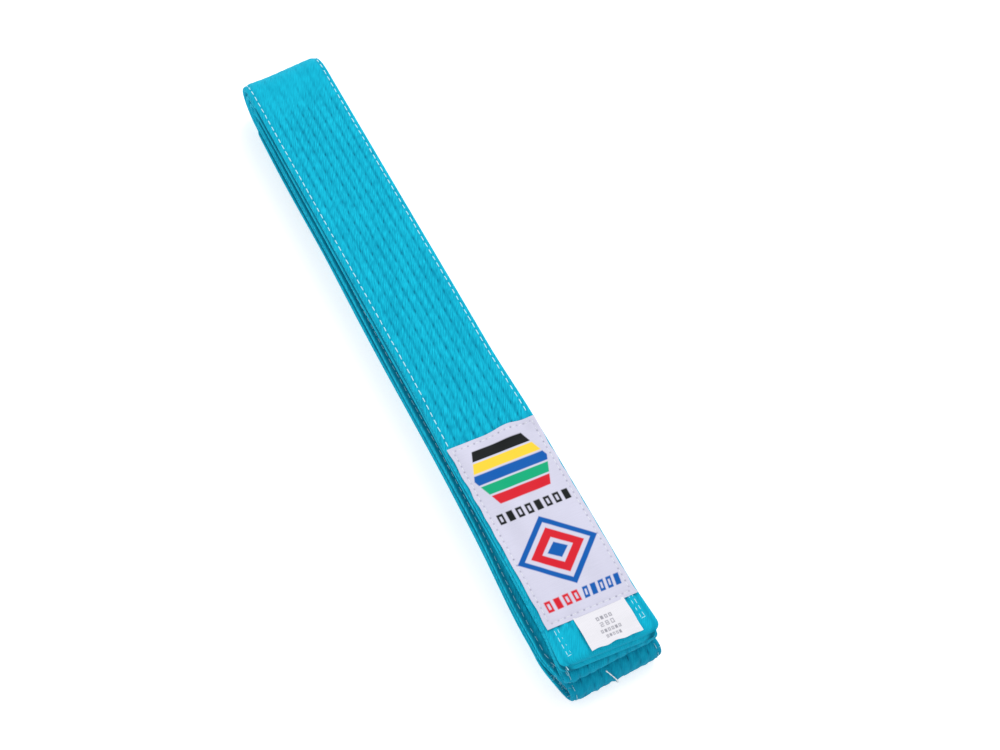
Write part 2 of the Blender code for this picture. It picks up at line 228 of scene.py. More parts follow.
@dataclass(frozen=True)
class QuiltedCotton:
    """Dyed twill cotton, quilted in rows, with needle pits where the rows' thread goes down."""

    colour: tuple[float, float, float] = (0.0010, 0.405, 0.585)
    light: tuple[float, float, float] = (0.0120, 0.550, 0.740)
    shade: tuple[float, float, float] = (0.0004, 0.175, 0.300)
    twill: float = math.tan(math.radians(26))
    twill_pitch: float = 0.85 * MM

    def make(self, quilt: "Quilt") -> bpy.types.Material:
        """Builds the material.

        Args:
            quilt: the rows that the pits follow.

        Returns:
            The material.
        """
        recipe = Recipe("belt_cotton")
        across, along = recipe.cloth_place()
        line = across - along * self.twill
        streak = recipe.noise(line * (1 / (0.46 * MM)), along * (1 / (4.2 * MM)), 1.2)
        broad = recipe.noise(across * (1 / (9 * MM)), along * (1 / (26 * MM)), 3.0)
        yarn = (line * (2 * math.pi / self.twill_pitch)).sine() * 0.5 + 0.5
        pick = ((along + across * self.twill) * (2 * math.pi / (0.7 * MM))).sine() * 0.5 + 0.5
        fading = (streak - 0.5) * (recipe.mark("quilted") * 1.3 + 0.8)
        tone = fading + (broad - 0.5) * 0.6 + (yarn - 0.5) * 0.15 + 0.50
        cloth = recipe.blend(tone.ease(0.0, 1.0), self.shade, self.light)
        cloth = recipe.blend(0.45, cloth, self.colour)
        row, pit = self.rows(recipe, across, along, quilt)
        # painted shade along the edge seam's groove and along the quilting rows
        cloth = recipe.blend(recipe.mark("groove") * 0.30 + row * 0.42, cloth, self.shade)
        # painted shade: the lower parts of the near bends and the sewn ends' rounded noses are darkened
        # towards the shade colour
        cloth = recipe.blend(recipe.mark("worn") * 0.70, cloth, self.shade)
        # painted shade in the narrow gaps between the runs' edges
        cloth = recipe.blend(recipe.mark("hollow") * 0.62, cloth, (0.0003, 0.080, 0.150))
        # painted shade in the needle pits
        cloth = recipe.blend(pit * 0.68, cloth, (0.001, 0.060, 0.125))
        height = streak * 0.6 + yarn * 0.2 + pick * 0.2 - pit * 0.5 - row * 0.5
        recipe.bump(height, 0.15 * MM, 0.8)
        recipe.set(Base_Color=cloth, Roughness=0.80 + (streak - 0.5) * 0.2)
        recipe.set(Sheen_Weight=0.05, Sheen_Roughness=0.45, Sheen_Tint=(0.35, 0.85, 1.0))
        recipe.set(Specular_IOR_Level=0.06)
        return recipe.material

    @staticmethod
    def rows(recipe: Recipe, across: Signal, along: Signal, quilt: "Quilt") -> tuple[Signal, Signal]:
        """The quilting's rows and the needle pits along them, as masks for painted shade and bump.

        Args:
            recipe: the material.
            across: metres across the belt.
            along: metres along it.
            quilt: the rows.

        Returns:
            1 in the middle of a row and 0 between rows, and 1 in a pit and 0 outside.
        """
        place = across / quilt.row_pitch + quilt.rows / 2
        row = place.floor()
        off_row = (place - row - 0.5) * quilt.row_pitch
        phase = (row * quilt.PHASE + 0.13).fraction()
        turn = along / quilt.stitch_pitch + phase
        off_hole = ((turn + 0.5).fraction() - 0.5) * quilt.stitch_pitch
        lean = off_row - off_hole * 0.22
        far = lean * lean * (1 / (0.23 * MM) ** 2) + off_hole * off_hole * (1 / (1.20 * MM) ** 2)
        inside = 1 - abs(across).ease(quilt.field / 2, quilt.field / 2 + 0.2 * MM)
        amount = inside * recipe.mark("quilted")
        uneven = recipe.noise(across * (1 / (4 * MM)), along * (1 / (9 * MM)), 1.0).ease(0.25, 0.65)
        line = 1 - (off_row * off_row * (1 / (0.95 * MM) ** 2)).ease(0.0, 1.0)
        return line * amount * (uneven * 0.3 + 0.7), (1 - far.ease(0.15, 1.4)) * amount * (uneven * 0.6 + 0.4)


@dataclass(frozen=True)
class SewingThread:
    """Twisted thread."""

    name: str
    colour: tuple[float, float, float]
    dark: tuple[float, float, float]
    # colour of the painted shade on stitches that lie between the runs
    shade_colour: tuple[float, float, float] = (0.004, 0.250, 0.380)
    roughness: float = 0.55

    def make(self) -> bpy.types.Material:
        """Builds the material."""
        recipe = Recipe(self.name)
        ply_x, ply_y = recipe.cloth_place()
        strand = ((ply_y * (1 / (0.42 * MM)) + ply_x * 2) * (2 * math.pi)).sine() * 0.5 + 0.5
        fuzz = recipe.noise(ply_x * 9, ply_y * (1 / (0.3 * MM)), 1.0)
        twisted = recipe.blend(strand * 0.35 + fuzz * 0.4, self.colour, self.dark)
        # painted shade: the thread is darkened by its shaded mark
        recipe.set(Base_Color=recipe.blend(recipe.mark("shaded"), twisted, self.shade_colour))
        recipe.bump(strand, 0.06 * MM, 0.7)
        recipe.set(Roughness=self.roughness + (fuzz - 0.5) * 0.2, Sheen_Weight=0.2)
        return recipe.material


@dataclass(frozen=True)
class PrintedCloth:
    """White woven cloth that carries a print, kept in the mesh as a colour."""

    name: str
    roughness: float
    thread_pitch: float
    sheen: float

    def make(self) -> bpy.types.Material:
        """Builds the material."""
        recipe = Recipe(self.name)
        across, along = recipe.cloth_place()
        warp = (along * (2 * math.pi / self.thread_pitch)).sine() * 0.5 + 0.5
        weft = (across * (2 * math.pi / (self.thread_pitch * 1.3))).sine() * 0.5 + 0.5
        slub = recipe.noise(across * (1 / (7 * MM)), along * (1 / (0.5 * MM)), 2.0)
        printed = recipe.attribute("print").outputs["Color"]
        weave = warp * 0.4 + weft * 0.25 + slub * 0.5
        shaded = recipe.blend(0.14, printed, (0.01, 0.01, 0.03))
        recipe.set(Base_Color=recipe.blend(weave.ease(0.15, 0.75), shaded, printed))
        recipe.bump(weave, 0.035 * MM, 0.6)
        recipe.set(Roughness=self.roughness + (slub - 0.5) * 0.16)
        recipe.set(Sheen_Weight=self.sheen, Specular_IOR_Level=0.07)
        return recipe.material


@dataclass(frozen=True)
class PlainFinish:
    """Matt surface of the studio's light table."""

    name: str
    colour: tuple[float, float, float]
    glow: float = 0.0

    def make(self) -> bpy.types.Material:
        """Builds the material."""
        recipe = Recipe(self.name)
        recipe.set(Base_Color=self.colour, Roughness=0.85, Specular_IOR_Level=0.15)
        recipe.set(Emission_Color=(1.0, 1.0, 1.0), Emission_Strength=self.glow)
        return recipe.material


# ---------------------------------------------------------------- the belt's plan


class Strand(Enum):
    """The lengths of belt that lie side by side in the bundle, each seen in one CAD node."""

    TOP = "cover_top_run"
    SECOND = "cover_second_run"
    MIDDLE = "cover_middle_pair"
    INNER_LOWER = "cover_lower_inner"
    OUTER_LOWER = "cover_lower_outer"


@dataclass(frozen=True)
class Quilt:
    """The rows of stitches that hold the wadding, and the seam along each edge."""

    rows: int = 8
    row_pitch: float = 4.35 * MM
    stitch_pitch: float = 6.6 * MM
    edge_inset: float = 2.2 * MM
    PHASE = 0.618

    @property
    def field(self) -> float:
        """Width of the quilted field."""
        return self.rows * self.row_pitch

    def depth(self, across: np.ndarray, along: np.ndarray, amount: np.ndarray) -> np.ndarray:
        """How far the surface lies under the section's full height.

        Args:
            across: metres from the belt's middle.
            along: metres from the labelled end.
            amount: share of the quilting's depth, from 0 to 1.

        Returns:
            The depth in metres.
        """
        row = np.clip(np.floor(across / self.row_pitch + self.rows / 2), 0, self.rows - 1)
        off_row = across - (row + 0.5 - self.rows / 2) * self.row_pitch
        turn = along / self.stitch_pitch + np.mod(row * self.PHASE + 0.13, 1.0)
        off_hole = (turn - np.round(turn)) * self.stitch_pitch
        rib = 0.26 * MM * np.clip(1 - (2 * off_row / self.row_pitch) ** 2, 0, 1) ** 2
        line = 0.20 * MM * np.exp(-((off_row / (0.55 * MM)) ** 2))
        hole = 0.24 * MM * np.exp(-((off_row / (0.65 * MM)) ** 2) - (off_hole / (1.5 * MM)) ** 2)
        return (rib + line + hole) * amount


@dataclass
class Plan:
    """Where the belt's runs and loops lie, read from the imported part."""

    LAYERS = 8
    LOWER = (Strand.OUTER_LOWER, Strand.INNER_LOWER)
    # Extra half width in millimetres where a strand is pressed flat: over the near half, and at its near end.
    SPREADS = {
        Strand.TOP: (1.2, 1.3),
        Strand.SECOND: (0.8, 1.4),
        Strand.MIDDLE: (0.5, 1.6),
        Strand.INNER_LOWER: (0.0, 0.8),
        Strand.OUTER_LOWER: (0.0, 1.9),
    }
    # Sideways lean of each run in millimetres, counted from 1 at the top.
    LEANS = (0.0, 0.0, 0.55, -0.35, 0.50, -1.25, -0.70, -1.20, -0.55)

    width: float = 43.0 * MM
    pull: float = 2.0 * MM
    thickness: float = field(init=False)
    pitch: float = field(init=False)
    far: Vector = field(init=False)
    near: Vector = field(init=False)
    middle: Vector = field(init=False)
    top_end: float = field(init=False)
    second_end: float = field(init=False)
    top: float = field(init=False)

    def __post_init__(self) -> None:
        """Reads the nodes' boxes."""
        low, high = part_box("cover_top_run")
        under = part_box("cover_second_run")[0]
        self.top = high.z
        self.thickness = high.z - low.z
        self.pitch = low.z - under.z
        half = self.thickness / 2
        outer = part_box("cover_loop_outermost_high")
        self.far = Vector((0, outer[1].y - 3.5 * self.pitch - half, half + 3.5 * self.pitch))
        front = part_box("cover_lower_outer")[0].y
        self.near = Vector((0, front + 1.5 * self.pitch + half, half + 1.5 * self.pitch))
        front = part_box("cover_middle_pair")[0].y
        self.middle = Vector((0, front + 0.5 * self.pitch + half, half + 4.5 * self.pitch))
        self.top_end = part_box("end_closure_top")[0].y
        self.second_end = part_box("end_closure_second")[0].y

    def height(self, layer: int) -> float:
        """Height of a run's middle, counted from 1 at the top."""
        return self.thickness / 2 + (self.LAYERS - layer) * self.pitch

    def sides(self, strand: Strand) -> tuple[float, float]:
        """How far a strand lies sideways at its near and far ends."""
        low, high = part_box(strand.value)
        return low.x + self.width / 2, high.x - self.width / 2

    def drift(self, strand: Strand, y: np.ndarray) -> np.ndarray:
        """How far a strand lies sideways at y.

        Args:
            strand: the strand.
            y: places along the bundle.

        Returns:
            The sideways shift of each place.
        """
        near, far = self.sides(strand)
        share = np.clip((y - self.near.y) / (self.far.y - self.near.y), 0, 1)
        shift = near + (far - near) * share
        if strand in self.LOWER:
            bulge = np.exp(-(((y + 138 * MM) / (30 * MM)) ** 2)) * -1.6 * MM
            turn = ease((-152 * MM - y) / (24 * MM)) * 3.9 * MM
            shift = shift + bulge + turn
        return shift

    def spread(self, strand: Strand, y: np.ndarray) -> np.ndarray:
        """How much wider a strand lies on each side than its plain width, where it is pressed flat.

        Args:
            strand: the strand.
            y: places along the bundle.

        Returns:
            The extra half width of each place.
        """
        amount, flare = self.SPREADS[strand]
        return amount * MM * ease((-15 * MM - y) / (45 * MM)) + flare * MM * ease((-146 * MM - y) / (24 * MM))

    def reach(self, strand: Strand, y: np.ndarray) -> np.ndarray:
        """How far the lower fold is pulled out towards the front.

        Args:
            strand: the strand.
            y: places along the bundle.

        Returns:
            The pull at each place.
        """
        amount = self.pull if strand in self.LOWER else 0.0
        return amount * ease((-145 * MM - y) / (24 * MM))

    def sway(self, layer: int, y: np.ndarray) -> np.ndarray:
        """How a run lies out of line with the others between its two loops.

        Args:
            layer: the run, counted from 1 at the top.
            y: places along the bundle.

        Returns:
            The sideways shift of each place.
        """
        lean = self.LEANS[layer] * MM
        wander = 0.30 * MM * ripple(40 + layer, (y, 130 * MM)) * (layer > 1)
        free = ease((self.far.y - y) / (4 * MM)) * ease((y - self.near.y) / (16 * MM))
        return (lean + wander) * free


def ease(share: np.ndarray) -> np.ndarray:
    """Smooth step of a share, held between 0 and 1."""
    share = np.clip(share, 0, 1)
    return share * share * (3 - 2 * share)


def ripple(seed: int, *coordinates: tuple[np.ndarray, float], waves: int = 5) -> np.ndarray:
    """Smooth seeded unevenness.

    Args:
        seed: which unevenness.
        coordinates: arrays of places, each with the length of a typical wave.
        waves: how many waves are added.

    Returns:
        Values mostly between -1 and 1.
    """
    random = np.random.default_rng(seed)
    total = 0.0
    for _ in range(waves):
        phase = random.uniform(0, 2 * math.pi)
        for values, length in coordinates:
            wave = random.uniform(0.4, 1.3) * random.choice((-1, 1))
            phase = phase + values * (2 * math.pi / length) * wave
        total = total + np.sin(phase)
    return total / math.sqrt(waves) * 0.8


@dataclass(frozen=True)
class Leg:
    """A part of the belt's track: a straight run along Y, or a turn round an axis along X."""

    strand: Strand
    layer: int = 0
    start: float = 0.0
    stop: float = 0.0
    centre: Vector | None = None
    radius: float = 0.0
    onto: Strand | None = None

    @property
    def length(self) -> float:
        """The leg's length."""
        return abs(self.stop - self.start) * (self.radius if self.centre else 1.0)

    def sample(self, share: np.ndarray, plan: Plan) -> tuple[np.ndarray, np.ndarray]:
        """Places on the leg.

        Args:
            share: how far along the leg, from 0 to 1.
            plan: the belt's plan.

        Returns:
            The middle of the section at each place, and the direction its upper face looks in.
        """
        value = self.start + (self.stop - self.start) * share
        sign = math.copysign(1.0, self.stop - self.start)
        if self.centre is None:
            shift = plan.drift(self.strand, value) + plan.sway(self.layer, value)
            middle = np.stack([shift, value, np.full_like(value, plan.height(self.layer))], 1)
            out = np.stack([value * 0, value * 0, np.full_like(value, sign)], 1)
            return middle, out
        y = self.centre.y + self.radius * np.cos(value)
        z = self.centre.z + self.radius * np.sin(value)
        shift = plan.drift(self.strand, y)
        if self.onto:
            up = ease(value / math.pi + 0.5)
            low, high = (self.onto, self.strand) if sign < 0 else (self.strand, self.onto)
            shift = plan.drift(low, y) + (plan.drift(high, y) - plan.drift(low, y)) * up
        out = -sign * np.stack([value * 0, np.cos(value), np.sin(value)], 1)
        return np.stack([shift, y, z], 1), out


# ---------------------------------------------------------------- modelling


class Bench:
    """Blender operators as they are used by hand, each on a clean selection."""

    @staticmethod
    def clear_selection() -> None:
        """Leaves nothing selected or active."""
        if bpy.context.object and bpy.context.object.mode != "OBJECT":
            bpy.ops.object.mode_set(mode="OBJECT")
        bpy.ops.object.select_all(action="DESELECT")
        bpy.context.view_layer.objects.active = None

    @staticmethod
    def pick(obj: bpy.types.Object) -> None:
        """Selects one object and makes it the active one."""
        Bench.clear_selection()
        obj.select_set(True)
        bpy.context.view_layer.objects.active = obj

    @staticmethod
    def grid(name: str, columns: int, rows: int) -> bpy.types.Object:
        """Adds a flat unit sheet of cloth.

        Args:
            name: the piece's name.
            columns: cells across.
            rows: cells along.

        Returns:
            The sheet.
        """
        Bench.clear_selection()
        bpy.ops.mesh.primitive_grid_add(x_subdivisions=columns, y_subdivisions=rows, size=1.0)
        obj = bpy.context.object
        obj.name = name
        obj.data.name = name
        return obj

    @staticmethod
    def places(obj: bpy.types.Object) -> np.ndarray:
        """The mesh's points."""
        co = np.empty(len(obj.data.vertices) * 3)
        obj.data.vertices.foreach_get("co", co)
        return co.reshape(-1, 3)

    @staticmethod
    def move(obj: bpy.types.Object, co: np.ndarray) -> None:
        """Puts the mesh's points at new places."""
        obj.data.vertices.foreach_set("co", np.ascontiguousarray(co, float).ravel())
        obj.data.update()

    @staticmethod
    def mark(obj: bpy.types.Object, name: str, values: np.ndarray) -> None:
        """Keeps a number for each point in the mesh."""
        attribute = obj.data.attributes.new(name, "FLOAT", "POINT")
        attribute.data.foreach_set("value", np.asarray(values, np.float32))

    @staticmethod
    def close_tube(obj: bpy.types.Object) -> None:
        """Joins a rolled sheet's two long sides and fills its two ends."""
        Bench.pick(obj)
        bpy.ops.object.mode_set(mode="EDIT")
        bpy.ops.mesh.select_all(action="SELECT")
        bpy.ops.mesh.remove_doubles(threshold=1e-6)
        bpy.ops.mesh.fill_holes(sides=0)
        bpy.ops.mesh.normals_make_consistent(inside=False)
        bpy.ops.object.mode_set(mode="OBJECT")

    @staticmethod
    def smooth(obj: bpy.types.Object, angle: float = 50.0) -> None:
        """Shades the piece smooth, but for edges sharper than an angle in degrees."""
        Bench.pick(obj)
        bpy.ops.object.shade_smooth_by_angle(angle=math.radians(angle))

    @staticmethod
    def thicken(obj: bpy.types.Object, thickness: float, offset: float) -> None:
        """Gives a sheet its thickness, with solidify.

        Args:
            obj: the sheet.
            thickness: the wall.
            offset: -1 to grow under the sheet, 1 over it.
        """
        modifier = obj.modifiers.new("thickness", "SOLIDIFY")
        modifier.thickness = thickness
        modifier.offset = offset
        Bench.pick(obj)
        bpy.ops.object.modifier_apply(modifier=modifier.name)


class Wrap:
    """Maps a piece's mesh to the cloth it is made of."""

    UV = "cloth"

    @staticmethod
    def lay(obj: bpy.types.Object, across: np.ndarray, along: np.ndarray) -> None:
        """Writes the UV map, in metres of cloth.

        Args:
            obj: the piece, before its points are merged.
            across: place across the cloth, for each point.
            along: place along the cloth, for each point.
        """
        layer = obj.data.uv_layers.active or obj.data.uv_layers.new(name=Wrap.UV)
        layer.name = Wrap.UV
        corner = np.empty(len(obj.data.loops), int)
        obj.data.loops.foreach_get("vertex_index", corner)
        layer.data.foreach_set("uv", np.stack([across[corner], along[corner]], 1).astype(np.float32).ravel())


@dataclass
class Section:
    """The belt's padded section, pinched by the seam near each edge."""

    plan: Plan
    quilt: Quilt
    edge_radius: float = 1.55 * MM
    lip: float = 0.66
    end_radius: float = 4.6 * MM
    end_corner: float = 3.8 * MM
    end_slant: float = 0.085

    def outline(self, cells: int) -> tuple[np.ndarray, np.ndarray]:
        """The section's points, once round, closer together at the edges.

        Args:
            cells: cells across the flat part of a face.

        Returns:
            Metres across the belt, and which face: 1 upper, -1 lower.
        """
        half = self.plan.width / 2
        turn = np.linspace(0, math.pi / 2, 6)[:-1]
        edge = half - self.edge_radius * (1 - np.cos(turn))
        flat = np.linspace(-(half - self.edge_radius), half - self.edge_radius, cells + 1)
        upper = np.concatenate([-edge, flat, edge[::-1]])
        across = np.concatenate([upper, upper[::-1][1:]])
        face = np.concatenate([np.ones(len(upper)), -np.ones(len(upper) - 1)])
        return across, face

    def half_height(self, across: np.ndarray) -> np.ndarray:
        """Half the belt's thickness at a place across it, before quilting."""
        edge = np.clip(self.plan.width / 2 - np.abs(across), 0, None)
        round_off = np.sqrt(np.clip(1 - (1 - np.clip(edge / self.edge_radius, 0, 1)) ** 2, 0, 1))
        full = self.lip + (1 - self.lip) * ease((edge - 1.2 * MM) / (3.6 * MM))
        seam = np.exp(-(((edge - self.quilt.edge_inset) / (0.60 * MM)) ** 2)) * 0.10 * MM
        return self.plan.thickness / 2 * full * round_off - seam * round_off


@dataclass
class Stretch:
    """One padded piece of the belt, between two joins."""

    name: str
    legs: tuple[Leg, ...]
    bodies: tuple[str, ...]
    nodes: tuple[str, ...]
    cells: int = 26
    step: float = 2.0 * MM
    starts_sewn: bool = False
    ends_sewn: bool = False
    offset: float = 0.0

    @property
    def length(self) -> float:
        """Length of belt in the piece."""
        return sum(leg.length for leg in self.legs)

    def shares(self) -> list[np.ndarray]:
        """Where each leg is cut across, as shares of the leg, closer together at a sewn end."""
        cuts = []
        for number, leg in enumerate(self.legs):
            least = 2 if leg.centre is None else max(6, round(abs(leg.stop - leg.start) / math.radians(7)))
            share = np.linspace(0, 1, max(least, round(leg.length / self.step)) + 1)
            if self.starts_sewn and number == 0:
                share = np.union1d(share, self.end_cuts() / leg.length)
            if self.ends_sewn and number == len(self.legs) - 1:
                share = np.union1d(share, 1 - self.end_cuts() / leg.length)
            cuts.append(share if number == 0 else share[1:])
        return cuts

    @staticmethod
    def end_cuts() -> np.ndarray:
        """Distances from a sewn end at which the rounding needs a cut."""
        return np.array((0.1, 0.25, 0.45, 0.75, 1.1, 1.5, 2.0, 2.6, 3.3, 4.0, 4.8)) * MM

    def track(self, plan: Plan) -> tuple[np.ndarray, np.ndarray, np.ndarray, np.ndarray]:
        """The piece's middle line.

        Args:
            plan: the belt's plan.

        Returns:
            Its points, the way the upper face looks, metres along the belt, and how much it is bent there.
        """
        middles, outs, alongs, bends = [], [], [], []
        done = self.offset
        for leg, share in zip(self.legs, self.shares()):
            middle, out = leg.sample(share, plan)
            middles.append(middle)
            outs.append(out)
            alongs.append(done + share * leg.length)
            near_turn = leg.centre is not None and leg.centre.y < 0
            bends.append(np.full(len(share), 1.0 if near_turn else 0.0))
            done += leg.length
        bend = np.concatenate(bends)
        along = np.concatenate(alongs)
        if bend.any() and not bend.all():
            inside = along[bend > 0]
            gap = np.maximum(np.maximum(inside.min() - along, along - inside.max()), 0)
            bend = 1 - ease(gap / (7 * MM))
        return np.concatenate(middles), np.concatenate(outs), along, bend

    def place(self, plan: Plan) -> tuple[np.ndarray, np.ndarray, np.ndarray]:
        """The track as points, upper directions and metres along, for laying stitches on it."""
        middle, out, along, _ = self.track(plan)
        return middle, out, along


@dataclass
class Belt:
    """The padded belt itself, as one piece for each stretch."""

    plan: Plan
    quilt: Quilt
    section: Section
    cloth: bpy.types.Material
    stretches: list[Stretch] = field(default_factory=list)

    def lay_out(self) -> None:
        """Lists the stretches from the labelled end to the other end of the belt."""
        plan = self.plan
        down, level, split, up = (math.radians(a) for a in (-90, 0, -45, 90))
        r = [plan.pitch * k for k in (0.5, 1.5, 2.5, 3.5)]
        S = Strand
        far = plan.far

        def run(strand: Strand, layer: int, start: float, stop: float) -> Leg:
            """A straight leg of one run."""
            return Leg(strand, layer, start, stop)

        def loop(radius: float, start: float, stop: float, strand: Strand, onto: Strand) -> Leg:
            """A leg of a far loop, from one strand onto another."""
            return Leg(strand, 0, start, stop, far, radius, onto)

        outer = (
            run(S.OUTER_LOWER, 8, far.y, plan.near.y),
            Leg(S.OUTER_LOWER, 0, down, down - math.pi, plan.near, r[1]),
            run(S.OUTER_LOWER, 5, plan.near.y, far.y),
        )
        pair = (
            run(S.MIDDLE, 4, far.y, plan.middle.y),
            Leg(S.MIDDLE, 0, down, down - math.pi, plan.middle, r[0]),
            run(S.MIDDLE, 3, plan.middle.y, far.y),
        )
        inner = (
            run(S.INNER_LOWER, 6, far.y, plan.near.y),
            Leg(S.INNER_LOWER, 0, up, up + math.pi, plan.near, r[0]),
            run(S.INNER_LOWER, 7, plan.near.y, far.y),
        )
        top = (run(S.TOP, 1, plan.top_end, far.y),)
        second = (run(S.SECOND, 2, far.y, plan.second_end),)
        fine = {"cells": 72, "step": 0.8 * MM}
        add = self.add
        add("top_run", top, ("top_run",), ("end_closure_top",), starts_sewn=True, **fine)
        outermost = (
            ("high", up, level, ("second_run", "top_run")),
            ("mid", level, split, ("middle_pair", "second_run")),
            ("low", split, down, ("lower_half", "middle_pair")),
        )
        for word, start, stop, bodies in outermost:
            add(f"loop_outermost_{word}", (loop(r[3], start, stop, S.TOP, S.OUTER_LOWER),), bodies, **fine)
        add("lower_outer", outer, ("lower_half",), cells=56, step=1.7 * MM)
        add("loop_innermost", (loop(r[0], down, up, S.OUTER_LOWER, S.MIDDLE),), ("lower_half", "middle_pair"))
        add("middle_pair", pair, ("middle_pair",), cells=40)
        add("loop_inner", (loop(r[1], up, down, S.MIDDLE, S.INNER_LOWER),), ("lower_half", "middle_pair"))
        add("lower_inner", inner, ("lower_half",), cells=32)
        low, high = (loop(r[2], *ends, S.INNER_LOWER, S.SECOND) for ends in ((down, level), (level, up)))
        add("loop_outer_low", (low,), ("lower_half", "middle_pair"))
        add("loop_outer_high", (high,), ("middle_pair", "second_run"))
        add("second_run", second, ("second_run",), ("end_closure_second",), ends_sewn=True, cells=40)

    def add(
        self,
        name: str,
        legs: tuple[Leg, ...],
        bodies: tuple[str, ...],
        extra: tuple[str, ...] = (),
        **resolution: float,
    ) -> None:
        """Adds a stretch that begins where the last one ended.

        Args:
            name: the stretch's name, as in its CAD nodes.
            legs: its legs, in order.
            bodies: the body it rides on, or the two that it bends between, the lower one first.
            extra: CAD nodes that it stands for besides its cover and core.
            resolution: the stretch's other fields.
        """
        done = self.stretches[-1].offset + self.stretches[-1].length if self.stretches else 0.0
        nodes = (f"cover_{name}", f"core_{name}", *extra)
        self.stretches.append(Stretch(name, legs, bodies, nodes, offset=done, **resolution))

    def build(self) -> None:
        """Builds and dresses every stretch, and attaches each one that rides on a single body."""
        self.lay_out()
        for stretch in self.stretches:
            obj = self.wrap(stretch)
            obj.data.materials.append(self.cloth)
            attach(obj, stretch)
            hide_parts(*stretch.nodes)
            report(obj)

    def wrap(self, stretch: Stretch) -> bpy.types.Object:
        """Wraps a sheet of cloth round the stretch's wadding.

        Args:
            stretch: the stretch.

        Returns:
            The closed padded piece.
        """
        across, face = self.section.outline(stretch.cells)
        middle, out, along, bend = stretch.track(self.plan)
        obj = Bench.grid(f"belt_{stretch.name}", len(across) - 1, len(along) - 1)
        flat = Bench.places(obj)
        column = np.rint((flat[:, 0] + 0.5) * (len(across) - 1)).astype(int)
        row = np.rint((flat[:, 1] + 0.5) * (len(along) - 1)).astype(int)
        a, side, s = across[column], face[column], along[row]
        lift, wide, thick = self.shape(stretch, a, side, s, bend[row], middle[row])
        co = middle[row] + out[row] * (side * lift * thick)[:, None]
        half = self.plan.width / 2
        wide = wide * (1 + self.plan.spread(stretch.legs[0].strand, middle[row][:, 1]) / half)
        co[:, 0] += a * wide
        co[:, 1] -= self.section.end_slant * a * self.near_end(stretch, s)
        co[:, 1] -= self.plan.reach(stretch.legs[0].strand, middle[row][:, 1])
        co[:, 2] -= (1 - thick) * lift * 0.8
        # painted shade for the gaps between the runs' edges
        hollow = self.hollow(stretch, a, side, co) * (1 - bend[row])
        co = settle(co)
        Bench.move(obj, co)
        Bench.mark(obj, "quilted", self.quilted(middle[row]) * self.away_from_end(stretch, s))
        Bench.mark(obj, "hollow", hollow)
        # painted shade on the near bends, darker lower down, and on the sewn ends' rounded noses
        worn = bend[row] * np.clip(1.2 - co[:, 2] / (45 * MM), 0, 1) + 0.7 * (1 - thick) * (1 - bend[row])
        Bench.mark(obj, "worn", worn)
        edge = self.plan.width / 2 - np.abs(a)
        # painted shade along the edge seam's groove
        Bench.mark(obj, "groove", np.exp(-(((edge - self.quilt.edge_inset) / (0.8 * MM)) ** 2)))
        Wrap.lay(obj, a, s)
        Bench.close_tube(obj)
        Bench.smooth(obj)
        return obj

    def puff(self, stretch: Stretch, a: np.ndarray, middle: np.ndarray) -> np.ndarray:
        """How far the outer cloth stands off at the right corner of the far fold.

        Args:
            stretch: the stretch.
            a: metres across the belt.
            middle: the track's points.

        Returns:
            The extra height, none on the runs inside.
        """
        far = self.plan.far
        corner = ease((middle[:, 1] - far.y + 14 * MM) / (24 * MM)) * ease((middle[:, 2] - far.z) / (9 * MM))
        outside = stretch.name.startswith(("top_run", "loop_outermost"))
        return 1.3 * MM * ease((a + 10 * MM) / (30 * MM)) * corner * outside

    def hollow(self, stretch: Stretch, a: np.ndarray, side: np.ndarray, co: np.ndarray) -> np.ndarray:
        """Where shade is painted into the narrow gaps between the runs' edges.

        Args:
            stretch: the stretch.
            a: metres across the belt.
            side: 1 on the upper face, -1 on the lower.
            co: the points' places.

        Returns:
            1 in a gap and 0 on the belt's outside.
        """
        edge = self.plan.width / 2 - np.abs(a)
        band = ease((edge - 0.25 * MM) / (0.6 * MM)) * (1 - ease((edge - 2.4 * MM) / (2.0 * MM)))
        outside = stretch.name.startswith(("top_run", "loop_outermost")) * (side > 0)
        raised = ease((co[:, 2] - 0.8 * MM) / (1.0 * MM))
        straight = 1 - ease((co[:, 1] - self.plan.far.y) / (3 * MM))
        return band * raised * straight * (1 - outside)

    def quilted(self, middle: np.ndarray) -> np.ndarray:
        """Share of the quilting's depth: it is drawn flat where the belt turns over the far fold."""
        return 1 - 0.8 * ease((middle[:, 1] - (self.plan.far.y - 26 * MM)) / (24 * MM))

    @staticmethod
    def end_gap(stretch: Stretch, s: np.ndarray) -> np.ndarray:
        """How far places are from the stretch's sewn end, or a metre if it has none."""
        if stretch.starts_sewn:
            return s - stretch.offset
        if stretch.ends_sewn:
            return stretch.offset + stretch.length - s
        return np.full_like(s, 1.0)

    @staticmethod
    def away_from_end(stretch: Stretch, s: np.ndarray) -> np.ndarray:
        """Share of the quilting's depth near a sewn end, where the cloth is turned in and plain."""
        return ease((Belt.end_gap(stretch, s) - 13 * MM) / (5 * MM))

    @staticmethod
    def near_end(stretch: Stretch, s: np.ndarray) -> np.ndarray:
        """Share of a sewn end's slant."""
        return ease((32 * MM - Belt.end_gap(stretch, s)) / (26 * MM))

